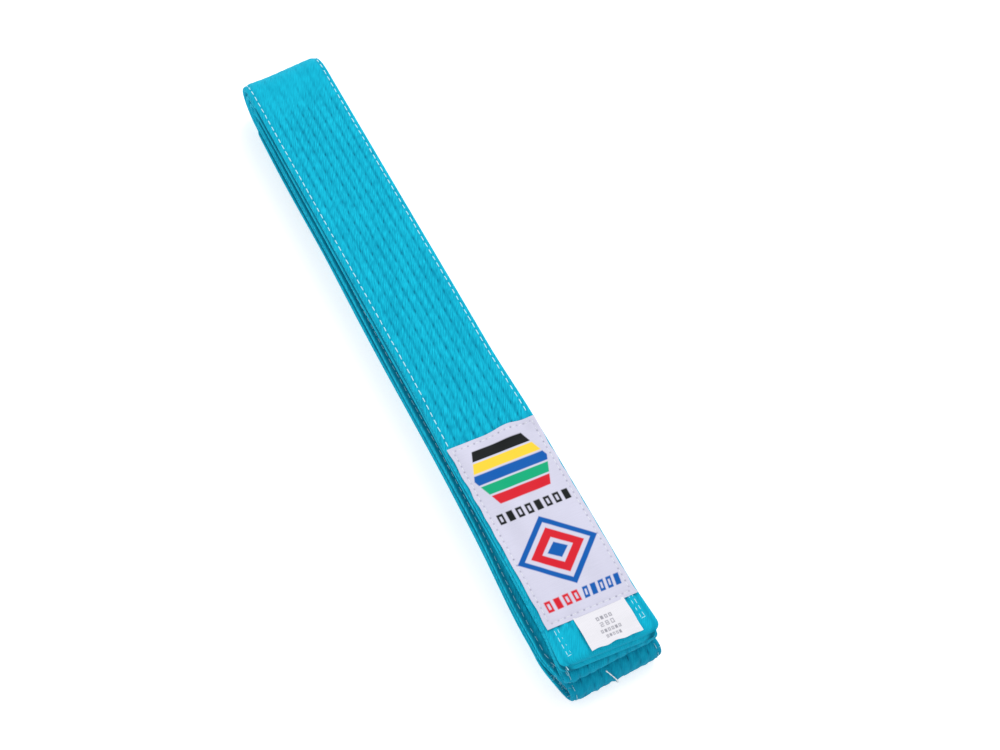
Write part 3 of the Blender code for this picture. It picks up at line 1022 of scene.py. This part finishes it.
    def shape(
        self,
        stretch: Stretch,
        a: np.ndarray,
        side: np.ndarray,
        s: np.ndarray,
        bend: np.ndarray,
        middle: np.ndarray,
    ) -> tuple[np.ndarray, np.ndarray, np.ndarray]:
        """The section's height at each point, and how the ends draw it in.

        Args:
            stretch: the stretch.
            a: metres across the belt.
            side: 1 on the upper face, -1 on the lower.
            s: metres along the belt.
            bend: share of the tight turn's effect.
            middle: the track's point.

        Returns:
            Half height, share of the width and share of the height.
        """
        lift = self.section.half_height(a)
        flat = ease(lift / (self.plan.thickness / 2 * 0.8))
        amount = self.quilted(middle) * self.away_from_end(stretch, s) * (1 - 0.35 * bend)
        lift = lift - self.quilt.depth(a, s, amount) * flat
        lift = lift + 0.07 * MM * ripple(3, (a, 22 * MM), (s, 34 * MM), (side, 9.0)) * flat
        fold = ripple(7, (a, 5 * MM), (s, 60 * MM), (side, 5.0)) * 0.15 * MM
        crumple = ripple(8, (a, 4 * MM), (s, 3.0 * MM), waves=9) * 0.17 * MM
        lift = lift + (fold + crumple - 0.16 * MM) * bend * flat
        lift = lift + self.puff(stretch, a, middle) * (side > 0) * flat
        wide, thick = np.ones_like(a), np.ones_like(a)
        if stretch.starts_sewn or stretch.ends_sewn:
            gap = np.clip(self.end_gap(stretch, s), 0, None)
            corner, nose = self.section.end_corner, self.section.end_radius
            left = corner - np.clip(gap, 0, corner)
            inset = corner - np.sqrt(np.clip(corner**2 - left**2, 0, None))
            wide = 1 - inset / (self.plan.width / 2)
            thick = np.sqrt(np.clip(1 - (1 - np.clip(gap / nose, 0, 1)) ** 2, 0.01, 1))
        return lift, wide, thick


def settle(co: np.ndarray) -> np.ndarray:
    """Lets the whole bundle settle a little unevenly, as cloth does, the same for everything at one place."""
    x, y, z = co.T
    level = z / (33 * MM)
    up = 0.22 * MM * ripple(11, (y, 150 * MM), (x, 300 * MM)) * level
    return np.stack([x, y, z + up], 1)


def attach(obj: bpy.types.Object, stretch: Stretch) -> None:
    """Makes a finished piece ride on its body; a piece between two bodies stays where it is, with its
    transform baked.

    Args:
        obj: the piece.
        stretch: the stretch it is or lies on.
    """
    if len(stretch.bodies) == 1:
        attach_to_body(obj, stretch.bodies[0])
        return
    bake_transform(obj)


def report(obj: bpy.types.Object) -> None:
    """Logs a finished piece."""
    log.info("%s: %d faces", obj.name, len(obj.data.polygons))


# ---------------------------------------------------------------- seams


@dataclass
class Stitcher:
    """Lays single stitches, all copies of one modelled stitch."""

    belt: Belt
    thread: bpy.types.Material
    length: float = 3.0 * MM
    pitch: float = 4.1 * MM
    radius: float = 0.26 * MM
    END_LENGTH = 2.3 * MM
    END_RADIUS = 0.17 * MM
    END_DEPTH = 0.12 * MM

    def one(self) -> tuple[np.ndarray, list[tuple[int, ...]]]:
        """Models a stitch of unit length along Y: a short thread that dips into the cloth at both ends.

        Returns:
            Its points and faces.
        """
        Bench.clear_selection()
        bpy.ops.mesh.primitive_cylinder_add(vertices=6, radius=1.0, depth=1.0, rotation=(math.pi / 2, 0, 0))
        obj = bpy.context.object
        bpy.ops.object.transform_apply(location=False, rotation=True, scale=False)
        bpy.ops.object.mode_set(mode="EDIT")
        for y in (-0.36, 0.0, 0.36):
            bpy.ops.mesh.select_all(action="SELECT")
            bpy.ops.mesh.bisect(plane_co=(0, y, 0), plane_no=(0, 1, 0))
        bpy.ops.object.mode_set(mode="OBJECT")
        co = Bench.places(obj)
        thin = np.where(np.abs(co[:, 1]) > 0.45, 0.55, 1.0)
        co[:, 0] *= thin
        co[:, 2] = co[:, 2] * thin - 2.2 * np.abs(co[:, 1]) ** 3 * 4
        faces = [tuple(face.vertices) for face in obj.data.polygons]
        bpy.data.objects.remove(obj, do_unlink=True)
        return co, faces

    def sew(
        self,
        name: str,
        places: np.ndarray,
        ways: np.ndarray,
        ups: np.ndarray,
        length: float | None = None,
        radius: float | None = None,
        shaded: float = 0.0,
    ) -> bpy.types.Object:
        """Copies the stitch to each place, all in one mesh.

        Args:
            name: the piece's name.
            places: middle of each stitch.
            ways: the way it runs.
            ups: the way the cloth under it looks.
            length: a stitch's length, if not the usual one.
            radius: the thread's radius, if not the usual one.
            shaded: share of painted shade that darkens the thread.

        Returns:
            The seam.
        """
        co, faces = self.one()
        length = length or self.length
        radius = radius or self.radius
        random = np.random.default_rng(len(places))
        points, polygons, across, along = [], [], [], []
        for place, way, up in zip(places, ways, ups):
            way = way / np.linalg.norm(way)
            side = np.cross(way, up)
            side /= np.linalg.norm(side)
            way = way + side * random.uniform(-0.05, 0.05)
            size = length * random.uniform(0.9, 1.08)
            local = co[:, :1] * radius * side + co[:, 1:2] * size * way + co[:, 2:] * radius * up
            base = len(points) * len(co)
            points.append(local + place)
            polygons += [tuple(base + i for i in face) for face in faces]
            across.append(np.arctan2(co[:, 0], co[:, 2]) / (2 * math.pi))
            along.append(co[:, 1] * size)
        mesh = bpy.data.meshes.new(name)
        mesh.from_pydata(np.concatenate(points).tolist(), [], polygons)
        obj = bpy.data.objects.new(name, mesh)
        bpy.context.scene.collection.objects.link(obj)
        Wrap.lay(obj, np.concatenate(across), np.concatenate(along))
        Bench.mark(obj, "shaded", np.full(len(mesh.vertices), shaded))
        obj.data.materials.append(self.thread)
        Bench.smooth(obj, 60)
        return obj

    def edge_places(
        self, stretch: Stretch, sides: tuple[int, ...], low: float = 0.0
    ) -> tuple[np.ndarray, np.ndarray, np.ndarray]:
        """Where the edge seam's stitches lie on a stretch, on both faces.

        Args:
            stretch: the stretch.
            sides: which edges, -1 left and 1 right.
            low: least distance from the stretch's start, on the upper face.

        Returns:
            Places, ways and ups.
        """
        middle, out, along = stretch.place(self.belt.plan)
        first, last = math.ceil(along[0] / self.pitch - 0.5), math.floor(along[-1] / self.pitch - 0.5)
        spots = (np.arange(first, last + 1) + 0.5) * self.pitch
        places, ways, ups = [], [], []
        inset = self.belt.plan.width / 2 - self.belt.quilt.edge_inset
        strand = stretch.legs[0].strand
        rise = float(self.belt.section.half_height(np.array([inset]))[0])
        for s in spots:
            around = [np.array([np.interp(s + d, along, v) for v in middle.T]) for d in (-1 * MM, 1 * MM)]
            centre = np.array([np.interp(s, along, v) for v in middle.T])
            up = np.array([np.interp(s, along, v) for v in out.T])
            up /= np.linalg.norm(up)
            for face in (1, -1):
                if face > 0 and s - along[0] < low:
                    continue
                wide = 1 + float(self.belt.plan.spread(strand, centre[1])) / (self.belt.plan.width / 2)
                pull = float(self.belt.plan.reach(strand, centre[1]))
                for side in sides:
                    shift = np.array((side * inset * wide, -pull, 0))
                    puff = self.belt.puff(stretch, np.array([side * inset]), centre[None])[0] * (face > 0)
                    places.append(centre + up * face * (rise + puff + 0.30 * self.radius) + shift)
                    ways.append(around[1] - around[0])
                    ups.append(up * face)
        return settle(np.array(places)), np.array(ways), np.array(ups)

    def build(self) -> None:
        """Sews both edges of every stretch."""
        patch_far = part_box("label_patch")[1].y
        for stretch in self.belt.stretches:
            if stretch.name == "top_run":
                low = patch_far + 1.5 * MM - self.belt.plan.top_end
                for side, word in ((-1, "left"), (1, "right")):
                    obj = self.sew(f"edge_seam_stitches_{word}", *self.edge_places(stretch, (side,), low))
                    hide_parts(f"edge_seam_{word}")
                    self.finish(obj, stretch)
            else:
                seam = self.edge_places(stretch, (-1, 1))
                open_air = stretch.name.startswith("loop_outermost")
                # stitches between the runs are thinner and get painted shade
                look = {} if open_air else {"radius": 0.18 * MM, "shaded": 0.62}
                obj = self.sew(f"stitches_{stretch.name}", *seam, **look)
                self.finish(obj, stretch)

    def finish(self, obj: bpy.types.Object, stretch: Stretch) -> None:
        """Attaches a seam as its stretch is attached: to its one body, or left in place with its transform
        baked.
        """
        attach(obj, stretch)
        report(obj)

    def sew_end(self) -> None:
        """Sews the double rows at both sides of the belt's labelled end."""
        plan = self.belt.plan
        for word in ("left", "right"):
            low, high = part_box(f"end_seam_{word}")
            rows = []
            for x in (low.x + 0.2 * MM, high.x - 0.2 * MM):
                for y in np.arange(low.y + 1.4 * MM, high.y - 0.6 * MM, 3.3 * MM):
                    rows.append((x, y, plan.top - self.END_DEPTH))
            rows.append(((low.x + high.x) / 2, low.y, plan.top - self.END_DEPTH))
            ways = np.array([(0.0, 1.0, 0.0)] * (len(rows) - 1) + [(1.0, 0.0, 0.0)])
            ups = np.array([(0.0, 0.0, 1.0)] * len(rows))
            seam = (settle(np.array(rows)), ways, ups)
            obj = self.sew(f"end_seam_stitches_{word}", *seam, self.END_LENGTH, self.END_RADIUS)
            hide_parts(f"end_seam_{word}")
            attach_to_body(obj, "top_run")
            report(obj)


# ---------------------------------------------------------------- labels


class Ink:
    """Flat shapes that are printed on a label, each a mask from 0 to 1 over its points."""

    def __init__(self, x: np.ndarray, y: np.ndarray, feather: float = 0.14 * MM) -> None:
        """Keeps the label's points, in metres from its middle."""
        self.x, self.y, self.feather = x, y, feather

    def fill(self, distance: np.ndarray) -> np.ndarray:
        """The mask of what lies within a distance field's zero line."""
        return np.clip(0.5 - distance / (2 * self.feather), 0, 1)

    def box(self, x: float, y: float, width: float, height: float, lean: float = 0.0) -> np.ndarray:
        """An upright box, or one that leans over.

        Args:
            x: its middle.
            y: its middle.
            width: its width.
            height: its height.
            lean: how far its top leans, for each unit of height.

        Returns:
            The mask.
        """
        across = np.abs(self.x - x - (self.y - y) * lean) - width / 2
        return self.fill(np.maximum(across, np.abs(self.y - y) - height / 2))

    def diamond(self, x: float, y: float, width: float, height: float) -> np.ndarray:
        """A diamond between its four corners."""
        far = np.abs(self.x - x) / (width / 2) + np.abs(self.y - y) / (height / 2) - 1
        return self.fill(far * min(width, height) / 3)

    def words(
        self, x: float, y: float, width: float, height: float, blocks: int, lean: float = 0.0
    ) -> np.ndarray:
        """A line of plain blocks that stands for a line of print.

        Args:
            x: the line's middle.
            y: its middle.
            width: its whole width.
            height: its height.
            blocks: how many blocks.
            lean: how far they lean.

        Returns:
            The mask.
        """
        step = width / blocks
        total = np.zeros_like(self.x)
        for number in range(blocks):
            place = x - width / 2 + (number + 0.5) * step
            body = self.box(place, y, step * 0.66, height, lean)
            hollow = self.box(place, y, step * 0.24, height * 0.52, lean)
            total = np.maximum(total, body - hollow * (number % 3 != 1))
        return np.clip(total, 0, 1)

    def numeral(self, digit: str, x: float, y: float, width: float, height: float, pen: float) -> np.ndarray:
        """A numeral of straight strokes.

        Args:
            digit: the numeral.
            x: its middle.
            y: its middle.
            width: its width.
            height: its height.
            pen: the strokes' width.

        Returns:
            The mask.
        """
        strokes = {"0": "abcdef", "2": "abged", "8": "abcdefg"}[digit]
        w, h = width / 2, height / 2
        shapes = {
            "a": (0, h, width + pen, pen),
            "g": (0, 0, width + pen, pen),
            "d": (0, -h, width + pen, pen),
            "f": (-w, h / 2, pen, h),
            "b": (w, h / 2, pen, h),
            "e": (-w, -h / 2, pen, h),
            "c": (w, -h / 2, pen, h),
        }
        masks = [self.box(x + shapes[k][0], y + shapes[k][1], *shapes[k][2:]) for k in strokes]
        return np.max(masks, axis=0)


@dataclass
class PatchLabel:
    """The satin patch: printed, sewn down all round, with its far right corner a little lifted."""

    belt: Belt
    cloth: bpy.types.Material
    thread: bpy.types.Material
    ground: tuple[float, float, float] = (0.585, 0.580, 0.705)
    black: tuple[float, float, float] = (0.006, 0.008, 0.008)
    yellow: tuple[float, float, float] = (0.870, 0.600, 0.040)
    blue: tuple[float, float, float] = (0.001, 0.095, 0.390)
    red: tuple[float, float, float] = (0.620, 0.012, 0.024)
    green: tuple[float, float, float] = (0.002, 0.370, 0.170)
    grey: tuple[float, float, float] = (0.110, 0.110, 0.180)
    dot_pitch: float = 3.1 * MM
    dot_inset: float = 2.0 * MM
    thickness: float = 0.22 * MM
    slant: float = 0.07
    upper_blocks: int = 8
    lower_blocks: tuple[int, int] = (4, 5)
    lower_lean: float = 0.18

    def bounds(self) -> tuple[Vector, Vector]:
        """The patch's box in the part."""
        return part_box("label_patch")

    def build(self) -> None:
        """Builds the patch and its seam."""
        low, high = self.bounds()
        width, length = self.belt.plan.width + 0.4 * MM, high.y - low.y
        obj = Bench.grid("patch_label", 138, 316)
        flat = Bench.places(obj)
        x, y = flat[:, 0] * width, flat[:, 1] * length
        Bench.move(obj, self.lay(x, y, width, length))
        Wrap.lay(obj, x, y)
        self.print(obj, x, y, width, length)
        Bench.thicken(obj, self.thickness, -1.0)
        Bench.smooth(obj)
        obj.data.materials.append(self.cloth)
        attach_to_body(obj, "top_run")
        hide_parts("label_patch")
        report(obj)
        seam = self.sew(width, length)

    def lay(self, x: np.ndarray, y: np.ndarray, width: float, length: float) -> np.ndarray:
        """Lays points of the flat patch on the belt.

        Args:
            x: metres from the patch's middle, across.
            y: metres from its middle, along.
            width: the patch's width.
            length: the patch's length.

        Returns:
            Their places, on the patch's upper face.
        """
        low, high = self.bounds()
        plan = self.belt.plan
        out = np.minimum(width / 2 - np.abs(x), length / 2 - np.abs(y))
        seam = np.exp(-(((out - self.dot_inset) / (0.8 * MM)) ** 2))
        puff = ease(out / (5 * MM)) * 0.16 * MM
        wave = 0.13 * MM * ripple(21, (x, 15 * MM), (y, 22 * MM)) * ease(out / (6 * MM))
        dots = self.dots(x, y, width, length)
        hem = 0.14 * MM * ripple(22, (x + y, 12 * MM)) * (1 - ease(out / (2.0 * MM)))
        corner = np.hypot(width / 2 - x, length / 2 - y)
        lifted = 2.0 * MM * (1 - ease(corner / (8.5 * MM)))
        z = plan.top + 0.42 * MM + puff + wave + hem + lifted - 0.14 * MM * seam - 0.10 * MM * dots
        crest = np.exp(-(((x - 8 * MM) / (7 * MM)) ** 2)) * ease((y - length / 2 + 8 * MM) / (8 * MM))
        z += 1.1 * MM * crest
        world_y = (low.y + high.y) / 2 + y - self.slant * x + 1.2 * MM * crest
        drawn = 0.25 * MM * ripple(23, (y, 9 * MM)) * (1 - ease((width / 2 - np.abs(x)) / (3 * MM)))
        narrow = (1.2 * MM - plan.spread(Strand.TOP, world_y)) / (width / 2)
        world_x = plan.drift(Strand.TOP, world_y) + x * (1 - narrow) + drawn
        return settle(np.stack([world_x, world_y, z], 1))

    def dots(self, x: np.ndarray, y: np.ndarray, width: float, length: float) -> np.ndarray:
        """The needle dots: 1 at a dot and 0 away from it."""
        half_x, half_y = width / 2 - self.dot_inset, length / 2 - self.dot_inset
        near_y = (y / self.dot_pitch - np.round(y / self.dot_pitch)) * self.dot_pitch
        near_x = (x / self.dot_pitch - np.round(x / self.dot_pitch)) * self.dot_pitch
        size = 0.34 * MM
        down = np.exp(-(((np.abs(x) - half_x) / size) ** 2) - (near_y / size) ** 2) * (np.abs(y) < half_y)
        over = np.exp(-(((np.abs(y) - half_y) / size) ** 2) - (near_x / size) ** 2) * (np.abs(x) < half_x)
        return np.maximum(down, over)

    def print(self, obj: bpy.types.Object, x: np.ndarray, y: np.ndarray, width: float, length: float) -> None:
        """Prints a hexagon of plain bands, diamonds inside each other and three lines of blocks.

        Args:
            obj: the patch.
            x: metres from its middle, across.
            y: metres from its middle, along.
            width: the patch's width.
            length: the patch's length.
        """
        ink = Ink(x, y)
        colour = np.tile(np.array(self.ground), (len(x), 1))
        colour *= (1 + 0.025 * ripple(24, (x, 14 * MM), (y, 60 * MM)))[:, None]

        def lay(mask: np.ndarray, paint: tuple[float, float, float]) -> None:
            """Paints a mask over what is there."""
            colour[:] = colour * (1 - mask[:, None]) + np.array(paint) * mask[:, None]

        top = length / 2
        centre = top - 19.5 * MM
        bands = (self.black, self.yellow, self.blue, self.green, self.red)
        tall, base = 29.0 * MM, 36.0 * MM
        across = np.abs(x) + np.abs(y - centre) * 0.40 - base / 2
        for number, paint in enumerate(bands):
            middle = centre + tall / 2 - (number + 0.5) * tall / 5
            band = np.maximum(across, np.abs(y - middle) - tall / 10 + 0.45 * MM)
            lay(ink.fill(band), paint)
        lay(ink.words(0.4 * MM, top - 40.5 * MM, 36.5 * MM, 5.0 * MM, self.upper_blocks), self.black)
        low = top - 63.0 * MM
        lay(ink.diamond(0, low, 39 * MM, 35 * MM), self.blue)
        lay(ink.diamond(0, low, 32 * MM, 28.5 * MM), self.ground)
        lay(ink.diamond(0, low, 26 * MM, 23 * MM), self.red)
        lay(ink.diamond(0, low, 15 * MM, 13 * MM), self.ground)
        lay(ink.diamond(0, low, 10 * MM, 8 * MM), self.blue)
        first, second = self.lower_blocks
        line = top - 85.5 * MM
        lay(ink.words(-9.6 * MM, line, 17.5 * MM, 5.2 * MM, first), self.red)
        lay(ink.words(9.3 * MM, line, 19.0 * MM, 5.2 * MM, second, self.lower_lean), self.blue)
        lay(self.dots(x, y, width, length) * (0.6 + 0.25 * ripple(25, (x + y, 7 * MM))), self.grey)
        paint_print(obj, colour)

    def sew(self, width: float, length: float) -> bpy.types.Object:
        """Sews the patch down with short sunk stitches, two needle dots apart.

        Args:
            width: the patch's width.
            length: the patch's length.

        Returns:
            The seam.
        """
        half_x, half_y = width / 2 - self.dot_inset, length / 2 - self.dot_inset
        spots, ways = [], []
        for number in range(-14, 15):
            for side in (-1, 1):
                spots.append((side * half_x, (number + 0.5) * self.dot_pitch))
                ways.append((0.0, 1.0, 0.0))
        for number in range(-6, 6):
            for side in (-1, 1):
                spots.append(((number + 0.5) * self.dot_pitch, side * half_y))
                ways.append((1.0, -self.slant, 0.0))
        flat = np.array(spots)
        places = self.lay(flat[:, 0], flat[:, 1], width, length)
        places[:, 2] -= 0.02 * MM
        ups = np.array([(0.0, 0.0, 1.0)] * len(places))
        stitcher = Stitcher(self.belt, self.thread)
        obj = stitcher.sew("patch_seam_stitches", places, np.array(ways), ups, 2.1 * MM, 0.13 * MM)
        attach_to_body(obj, "top_run")
        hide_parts("patch_seam")
        report(obj)
        return obj


def paint_print(obj: bpy.types.Object, colour: np.ndarray) -> None:
    """Keeps a label's print in its mesh, as a linear colour for each point."""
    attribute = obj.data.color_attributes.new("print", "FLOAT_COLOR", "POINT")
    full = np.concatenate([np.clip(colour, 0, 1), np.ones((len(colour), 1))], 1)
    attribute.data.foreach_set("color", full.astype(np.float32).ravel())


@dataclass
class SizeLabel:
    """The small woven size label, held under the patch's lower edge and free at its other end."""

    belt: Belt
    cloth: bpy.types.Material
    ground: tuple[float, float, float] = (0.735, 0.725, 0.770)
    grey: tuple[float, float, float] = (0.160, 0.160, 0.200)
    tuck: float = 1.2 * MM
    thickness: float = 0.20 * MM
    slant: float = 0.085
    number: str = "280"
    line_blocks: tuple[int, int, int] = (4, 6, 5)

    def build(self) -> None:
        """Builds the label."""
        low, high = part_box("size_label")
        plan = self.belt.plan
        width, length = high.x - low.x, high.y - low.y + self.tuck
        obj = Bench.grid("size_label_cloth", 120, 80)
        flat = Bench.places(obj)
        x, y = flat[:, 0] * width, (flat[:, 1] - 0.5) * length
        free = np.clip(-y / length, 0, 1)
        rise = 0.34 * MM + 0.75 * MM * np.sin(np.clip(free * 1.25, 0, 1) * math.pi) * ease(free * 2)
        rise += 0.30 * MM * ripple(31, (x, 26 * MM), (y, 30 * MM)) * ease(free * 1.6) + 0.95 * MM * ease(free)
        rise += 0.45 * MM * ease((free - 0.6) / 0.4) * ease((x / width + 0.5))
        tip = ease((free - 0.72) / 0.28)
        rise += 0.40 * MM * ripple(32, (x, 13 * MM)) * tip
        world_y = high.y + self.tuck + y - self.slant * (x + (low.x + high.x) / 2)
        world_y += 0.20 * MM * ripple(33, (x, 8 * MM)) * tip
        world_x = (low.x + high.x) / 2 + x
        Bench.move(obj, settle(np.stack([world_x, world_y, plan.top + rise], 1)))
        Wrap.lay(obj, x, y)
        self.print(obj, x, y + length / 2)
        Bench.thicken(obj, self.thickness, -1.0)
        Bench.smooth(obj)
        obj.data.materials.append(self.cloth)
        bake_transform(obj)
        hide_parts("size_label")
        report(obj)

    def print(self, obj: bpy.types.Object, x: np.ndarray, y: np.ndarray) -> None:
        """Prints the size's number between lines of blocks.

        Args:
            obj: the label.
            x: metres from its middle, across.
            y: metres from its middle, along.
        """
        ink = Ink(x, y, 0.16 * MM)
        colour = np.tile(np.array(self.ground), (len(x), 1))
        upper, middle, lower = self.line_blocks
        masks = [ink.words(0, 3.4 * MM, 8.0 * MM, 1.7 * MM, upper)]
        for position, digit in enumerate(self.number):
            place = (position - 1) * 2.5 * MM
            masks.append(ink.numeral(digit, place, 0.4 * MM, 1.15 * MM, 1.7 * MM, 0.34 * MM))
        masks.append(ink.words(0.2 * MM, -2.6 * MM, 10.0 * MM, 1.5 * MM, middle))
        masks.append(ink.words(0.2 * MM, -5.2 * MM, 7.5 * MM, 1.4 * MM, lower))
        mask = np.max(masks, axis=0)[:, None] * 0.75
        paint_print(obj, colour * (1 - mask) + np.array(self.grey) * mask)


@dataclass
class Fray:
    """Fine fibres that the belt's edges have shed through wear, at the lower fold."""

    belt: Belt
    thread: bpy.types.Material
    count: int = 110
    radius: float = 0.045 * MM

    def build(self) -> None:
        """Builds the fibres, each lying loosely over an edge of the lower fold."""
        plan = self.belt.plan
        random = np.random.default_rng(61)
        places, ways, ups = [], [], []
        for _ in range(self.count):
            side = -1 if random.random() < 0.7 else 1
            turn = math.radians(random.uniform(5, 140))
            reach = 1.5 * plan.pitch + plan.thickness / 2 * random.uniform(0.35, 1.02)
            out = np.array((side * random.uniform(0.3, 1.0), -math.sin(turn), math.cos(turn)))
            x = side * (plan.width / 2 + 1.5 * MM - abs(random.normal(0, 1.3)) * MM)
            y = plan.near.y - reach * math.sin(turn) + random.uniform(-2, 12) * MM
            x += float(plan.drift(Strand.OUTER_LOWER, np.array([y]))[0])
            places.append((x, y, plan.near.z + reach * math.cos(turn)))
            ways.append(random.normal(size=3) * (0.6, 1.0, 0.8) + out * 0.7)
            ups.append(out)
        sewing = Stitcher(self.belt, self.thread)
        spots = settle(np.array(places))
        obj = sewing.sew("frayed_fibres", spots, np.array(ways), np.array(ups), 2.2 * MM, self.radius)
        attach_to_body(obj, "lower_half")
        report(obj)


@dataclass
class LooseThread:
    """The thread end that hangs over the lower fold."""

    belt: Belt
    thread: bpy.types.Material
    radius: float = 0.26 * MM
    points: int = 40
    first_turn: float = 26
    last_turn: float = 150
    twists: float = 4.5

    def build(self) -> None:
        """Builds the thread as two twisted plies that part at the free end."""
        low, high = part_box("loose_thread")
        plan = self.belt.plan
        share = np.linspace(0, 1, self.points)
        turn = np.radians(self.first_turn + (self.last_turn - self.first_turn) * share)
        reach = 1.5 * plan.pitch + plan.thickness / 2 + 0.65 * MM * (1 + share)
        x = low.x + self.radius + (high.x - low.x) * (share + 0.35 * np.sin(math.pi * share)) + 2.8 * MM
        y = plan.near.y - reach * np.sin(turn) - plan.pull
        z = plan.near.z + reach * np.cos(turn)
        line = settle(np.stack([x, y, z], 1))
        curve = bpy.data.curves.new("loose_thread_plies", "CURVE")
        curve.dimensions = "3D"
        curve.bevel_depth = self.radius * 0.62
        curve.bevel_resolution = 1
        curve.use_fill_caps = True
        for ply in (0, math.pi):
            spline = curve.splines.new("POLY")
            spline.points.add(self.points - 1)
            twist = share * 2 * self.twists * math.pi + ply
            part = self.radius * (0.55 + 1.6 * ease((share - 0.93) / 0.07))
            for index, point in enumerate(spline.points):
                side = Vector((math.cos(twist[index]), 0.3 * math.sin(twist[index]), math.sin(twist[index])))
                point.co = (*(Vector(line[index]) + side * part[index]), 1.0)
        obj = bpy.data.objects.new("loose_thread_plies", curve)
        bpy.context.scene.collection.objects.link(obj)
        Bench.pick(obj)
        bpy.ops.object.convert(target="MESH")
        obj = bpy.context.object
        co = Bench.places(obj)
        Wrap.lay(obj, co[:, 0] * 0, co[:, 2])
        obj.data.materials.append(self.thread)
        Bench.smooth(obj, 60)
        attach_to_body(obj, "lower_half")
        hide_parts("loose_thread")
        report(obj)


# ---------------------------------------------------------------- studio


@dataclass
class Studio:
    """A pale table, soft light and the camera."""

    camera_place: tuple[float, float, float] = (-0.1716, -0.2849, 0.6529)
    elevation: float = 63.06
    azimuth: float = -36.98
    roll: float = 9.55
    lens: float = 53.57
    sensor: float = 36.0
    sky: tuple[float, float, float, float] = (0.99, 0.995, 1.0, 1.0)
    sky_strength: float = 0.86
    table_size: float = 6.0
    table_drop: float = 0.15 * MM

    def build(self) -> None:
        """Builds the studio."""
        self.add_table()
        self.add_lights()
        self.add_camera()

    def add_table(self) -> None:
        """Adds the table: a large flat sheet."""
        table = Bench.grid("table", 4, 4)
        Bench.move(table, Bench.places(table) * self.table_size - (0, 0, self.table_drop))
        table.data.materials.append(PlainFinish("table_top", (0.72, 0.72, 0.73), 0.48).make())

    def add_lights(self) -> None:
        """Adds a broad lamp overhead and a weaker one at the side."""
        world = bpy.data.worlds.new("studio")
        world.use_nodes = True
        background = world.node_tree.nodes["Background"]
        background.inputs[0].default_value = self.sky
        background.inputs[1].default_value = self.sky_strength
        bpy.context.scene.world = world
        self.add_lamp("key", (0.55, 0.50, 1.25), 0.75, 9.5)
        self.add_lamp("fill", (-0.9, -0.7, 0.9), 1.2, 2.0)

    def add_lamp(self, name: str, place: tuple[float, float, float], size: float, power: float) -> None:
        """Adds a square lamp that looks at the belt.

        Args:
            name: the lamp's name.
            place: where it hangs.
            size: its side.
            power: watts.
        """
        data = bpy.data.lights.new(name, "AREA")
        data.size = size
        data.energy = power
        lamp = bpy.data.objects.new(name, data)
        lamp.location = place
        lamp.rotation_euler = (-Vector(place)).to_track_quat("-Z", "Y").to_euler()
        bpy.context.scene.collection.objects.link(lamp)

    def add_camera(self) -> None:
        """Adds the camera by its place, its angle on the bundle and its roll."""
        up, turn = math.radians(self.elevation), math.radians(self.azimuth)
        forward = Vector((-math.sin(turn) * math.cos(up), math.cos(turn) * math.cos(up), -math.sin(up)))
        right = forward.cross(Vector((0, 0, 1))).normalized()
        above = right.cross(forward)
        lean = math.radians(self.roll)
        side = right * math.cos(lean) + above * math.sin(lean)
        above = above * math.cos(lean) - right * math.sin(lean)
        data = bpy.data.cameras.new("camera")
        data.lens = self.lens
        data.sensor_width = self.sensor
        data.clip_start = 0.01
        camera = bpy.data.objects.new("camera", data)
        turned = Matrix((side, above, -forward)).transposed().to_4x4()
        camera.matrix_world = Matrix.Translation(self.camera_place) @ turned
        bpy.context.scene.collection.objects.link(camera)
        bpy.context.scene.camera = camera
        bpy.context.scene.view_settings.view_transform = "Standard"


def main() -> None:
    """Builds the belt, its seams and labels, and the studio."""
    logging.basicConfig(level=logging.INFO, format="%(message)s")
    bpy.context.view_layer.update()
    Studio().build()
    plan, quilt = Plan(), Quilt()
    belt = Belt(plan, quilt, Section(plan, quilt), QuiltedCotton().make(quilt))
    belt.build()
    pale = SewingThread("pale_thread", (0.55, 0.86, 0.94), (0.22, 0.62, 0.78)).make()
    white = SewingThread("white_thread", (0.86, 0.87, 0.88), (0.55, 0.60, 0.65)).make()
    stitcher = Stitcher(belt, pale)
    stitcher.build()
    stitcher.sew_end()
    PatchLabel(belt, PrintedCloth("patch_satin", 0.45, 0.42 * MM, 0.0).make(), white).build()
    SizeLabel(belt, PrintedCloth("label_cloth", 0.60, 0.50 * MM, 0.0).make()).build()
    LooseThread(belt, white).build()
    Fray(belt, pale).build()


if __name__ == "__main__":
    main()
